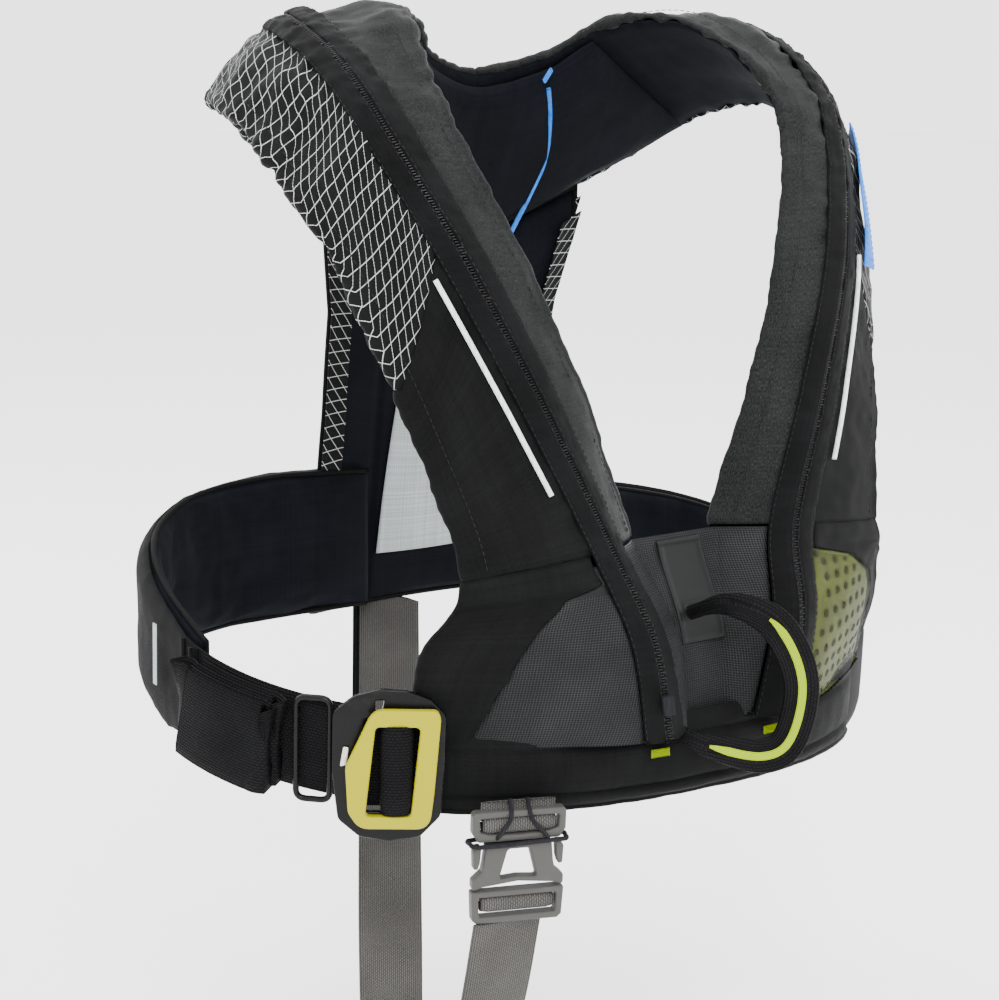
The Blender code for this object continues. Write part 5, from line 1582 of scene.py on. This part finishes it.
def build_crotch_buckle():
    bottom = float(place(0, 0, 100)[2])
    at = mount((place(-52, 0, 0)[0], place(0, -108.5, 0)[1], bottom), ring_turn(-151))
    width = 47.6
    half = width / 2
    socket = plate("release_socket",
                   mm_points((-half, 7), (half, 7), (half, -4), (half - 3, -8.6), (-half + 3, -8.6),
                             (-half, -4)), [(mm_points((-half + 3.6, 3.6), (half - 3.6, 3.6),
                                                       (half - 4.0, -3.2), (half - 9, -4.6), (0, -5.4),
                                                       (-half + 9, -4.6), (-half + 4.0, -3.2)), 1.2 * MM)],
                   CROTCH_BUCKLE, 1.3 * MM, "grey_plastic", at, 2.6 * MM)
    finish_piece(socket, "jacket", "grey_plastic", "crotch_socket")

    z0 = -10.0
    tongue_outline = mm_points((-half + 7, z0), (half - 7, z0), (half - 6.0, z0 - 10),
                               (half - 5.2, z0 - 14), (half - 0.4, z0 - 18.5), (half - 0.4, z0 - 24),
                               (half - 5.5, z0 - 22.2), (0, z0 - 20.2), (-half + 5.5, z0 - 22.2),
                               (-half + 0.4, z0 - 24), (-half + 0.4, z0 - 18.5), (-half + 5.2, z0 - 14),
                               (-half + 6.0, z0 - 10))
    tongue = plate("release_tongue", tongue_outline,
                   [(mm_points((-5.6, z0 - 3.0), (5.6, z0 - 3.0), (9.6, z0 - 18.4), (0, z0 - 17.6),
                               (-9.6, z0 - 18.4)), [2.4 * MM, 2.4 * MM, 1 * MM, 3 * MM, 1 * MM])],
                   CROTCH_BUCKLE - 0.6 * MM, 1.1 * MM, "grey_plastic", at, 1.6 * MM)
    finish_piece(tongue, "crotch_release", "grey_plastic", "crotch_tongue")
    for side, word in ((RIGHT, "right"), (LEFT, "left")):
        points = mm_points((side * (half - 4.9), z0 - 0.6), (side * (half - 2.2), z0 - 0.6),
                           (side * (half - 0.6), z0 - 3.5), (side * (half - 1.0), z0 - 12.5),
                           (side * (half - 3.2), z0 - 12.8), (side * (half - 4.3), z0 - 9))
        latch = plate("release_latch_" + word, points, [], CROTCH_BUCKLE - 1.4 * MM, 0.9 * MM,
                      "grey_plastic", at, 1.0 * MM)
        finish_piece(latch, "crotch_latch_" + word, "grey_plastic", "crotch_latch_" + word)
    top = z0 - 24.5
    ladder = plate("release_ladder",
                   mm_points((-half, top), (half, top), (half - 0.8, top - 15), (half - 3, top - 17),
                             (-half + 3, top - 17), (-half + 0.8, top - 15)),
                   [(mm_points((-half + 3.9, top - 3.2), (half - 3.9, top - 3.2), (half - 4.2, top - 13.4),
                               (-half + 4.2, top - 13.4)), 1 * MM)], CROTCH_BUCKLE, 1.2 * MM,
                   "grey_plastic", at, 1.2 * MM)
    finish_piece(ladder, "crotch_release", "grey_plastic", "crotch_ladder")
    x_axis = np.array(at.to_3x3() @ Vector((1, 0, 0)))
    for name, z, body, node_name, radius in (("socket_webbing_roll", -0.4, "jacket", "crotch_anchor_roll",
                                              3.7), ("ladder_webbing_roll", top - 7.4, "crotch_release",
                                                     "crotch_strap_roll", 3.6)):
        route = [at @ Vector((0.0, radius * MM * 0.82 * math.cos(a), z * MM + radius * MM * math.sin(a)))
                 for a in np.linspace(0.3, 2 * math.pi + 0.2, 26)]
        roll = strap_piece(name, route, x_axis, CROTCH_WIDTH - 0.8 * MM, 1.5 * MM, "webbing_grey", 0.0)
        finish_piece(roll, body, "webbing_grey", node_name)
    stub = [at @ Vector((0, 1.2 * MM, z * MM)) for z in (2.0, 5.0, 8.0, 11.0)]
    finish_piece(strap_piece("crotch_anchor_webbing", stub, x_axis, CROTCH_WIDTH, 1.8 * MM, "webbing_grey",
                             0.0), "jacket", "webbing_grey", "crotch_anchor")

    band = [at @ Vector((x * MM, y * MM, (-9.3 + 0.5 * math.sin(x * 0.1)) * MM))
            for x, y in ((-24.5, 0), (-23.6, -4.2), (-18, -5.2), (-6, -5.4), (6, -5.4), (18, -5.2),
                         (23.6, -4.2), (24.5, 0), (23.6, 4.2), (10, 5.2), (-10, 5.2), (-23.6, 4.2),
                         (-24.5, 0), (-23.6, -4.2))]
    cord = oval_tube("elastic_keeper", smooth_line(band, 5), (2.4 * MM, 2.4 * MM), "elastic", sides=10)
    finish_piece(cord, "jacket", "webbing_black")
    for word, points in (("a", ((-4.5, 0.5, 12), (-5.0, -4.6, 5.2), (-7.5, -5.6, 0.5), (-10.5, -4.6, -4.5),
                                (-11.5, -2.5, -7), (-11, 1, -9))),
                         ("b", ((4.5, 0.5, 12), (4.8, -4.6, 5.2), (7.2, -5.6, 0.5), (11.5, -4.6, -4.2),
                                (14, -4.4, -7.6), (14, -4, -9)))):
        line = smooth_line([at @ Vector((x * MM, y * MM, z * MM)) for x, y, z in points], 6)
        strand = oval_tube("elastic_strand_" + word, line, (2.2 * MM, 2.2 * MM), "elastic", sides=10)
        finish_piece(strand, "jacket", "webbing_black")


def build_crotch_straps():
    """One strap from the ladder bar down under the body and up to the back pad, in one piece."""
    front_cad, rear_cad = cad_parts["crotch_strap_front"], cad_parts["crotch_strap_rear"]
    front, rear = strap_middle(front_cad), strap_middle(rear_cad)
    swing = (1, -0.12, 0)
    line = smooth_line(front + rear[::-1][1:], 3)
    strap = strap_piece("crotch_strap", line, swing, CROTCH_WIDTH, WEBBING, "webbing_grey", 0.5 * MM, 6.0)
    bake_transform(strap)
    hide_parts("crotch_strap_front", "crotch_strap_rear")
    # painted shadow: a strip of black webbing set just behind the upper end of the rear strap gives it a dark
    # edge
    shadow = [p + np.array((-2.6, 3.5, 1.0)) * MM for p in rear[:3]]
    second = strap_piece("crotch_strap_shadow_strip", smooth_line(shadow, 4), swing, CROTCH_WIDTH, WEBBING,
                         "webbing_black", 0.4 * MM, 8.0)
    finish_piece(second, "jacket", "webbing_black")


def strap_middle(cad_piece):
    """The middle line of a CAD strap, top to bottom: its mesh has four corners a row."""
    points = np.array(sorted({tuple(round(c, 6) for c in v.co) for v in cad_piece.data.vertices},
                             key=lambda p: -p[2]))
    return [points[k:k + 4].mean(axis=0) for k in range(0, len(points), 4)]


build_studio()
build_covers()
build_zip_bands()
build_lining()
build_centre_front()
build_trim()
build_patch()
build_chest_loop()
build_bar_tacks()
build_back()
build_belt_pads()
build_lower_band()
build_belt()
build_waist_buckle()
build_slide()
build_crotch_buckle()
build_crotch_straps()

for name, finish in (("buckle_pin", "black_metal"), ("zip_slider_right", "elastic"),
                     ("zip_slider_left", "elastic"), ("inflator_body", "yellow_plastic"),
                     ("inflator_lever", "yellow_plastic"), ("whistle", "yellow_plastic"),
                     ("oral_tube", "black_plastic"), ("oral_tube_cap", "black_plastic"),
                     ("gas_cylinder", "steel")):
    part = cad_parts[name]
    part.data.materials.clear()
    part.data.materials.append(MATERIALS[finish])
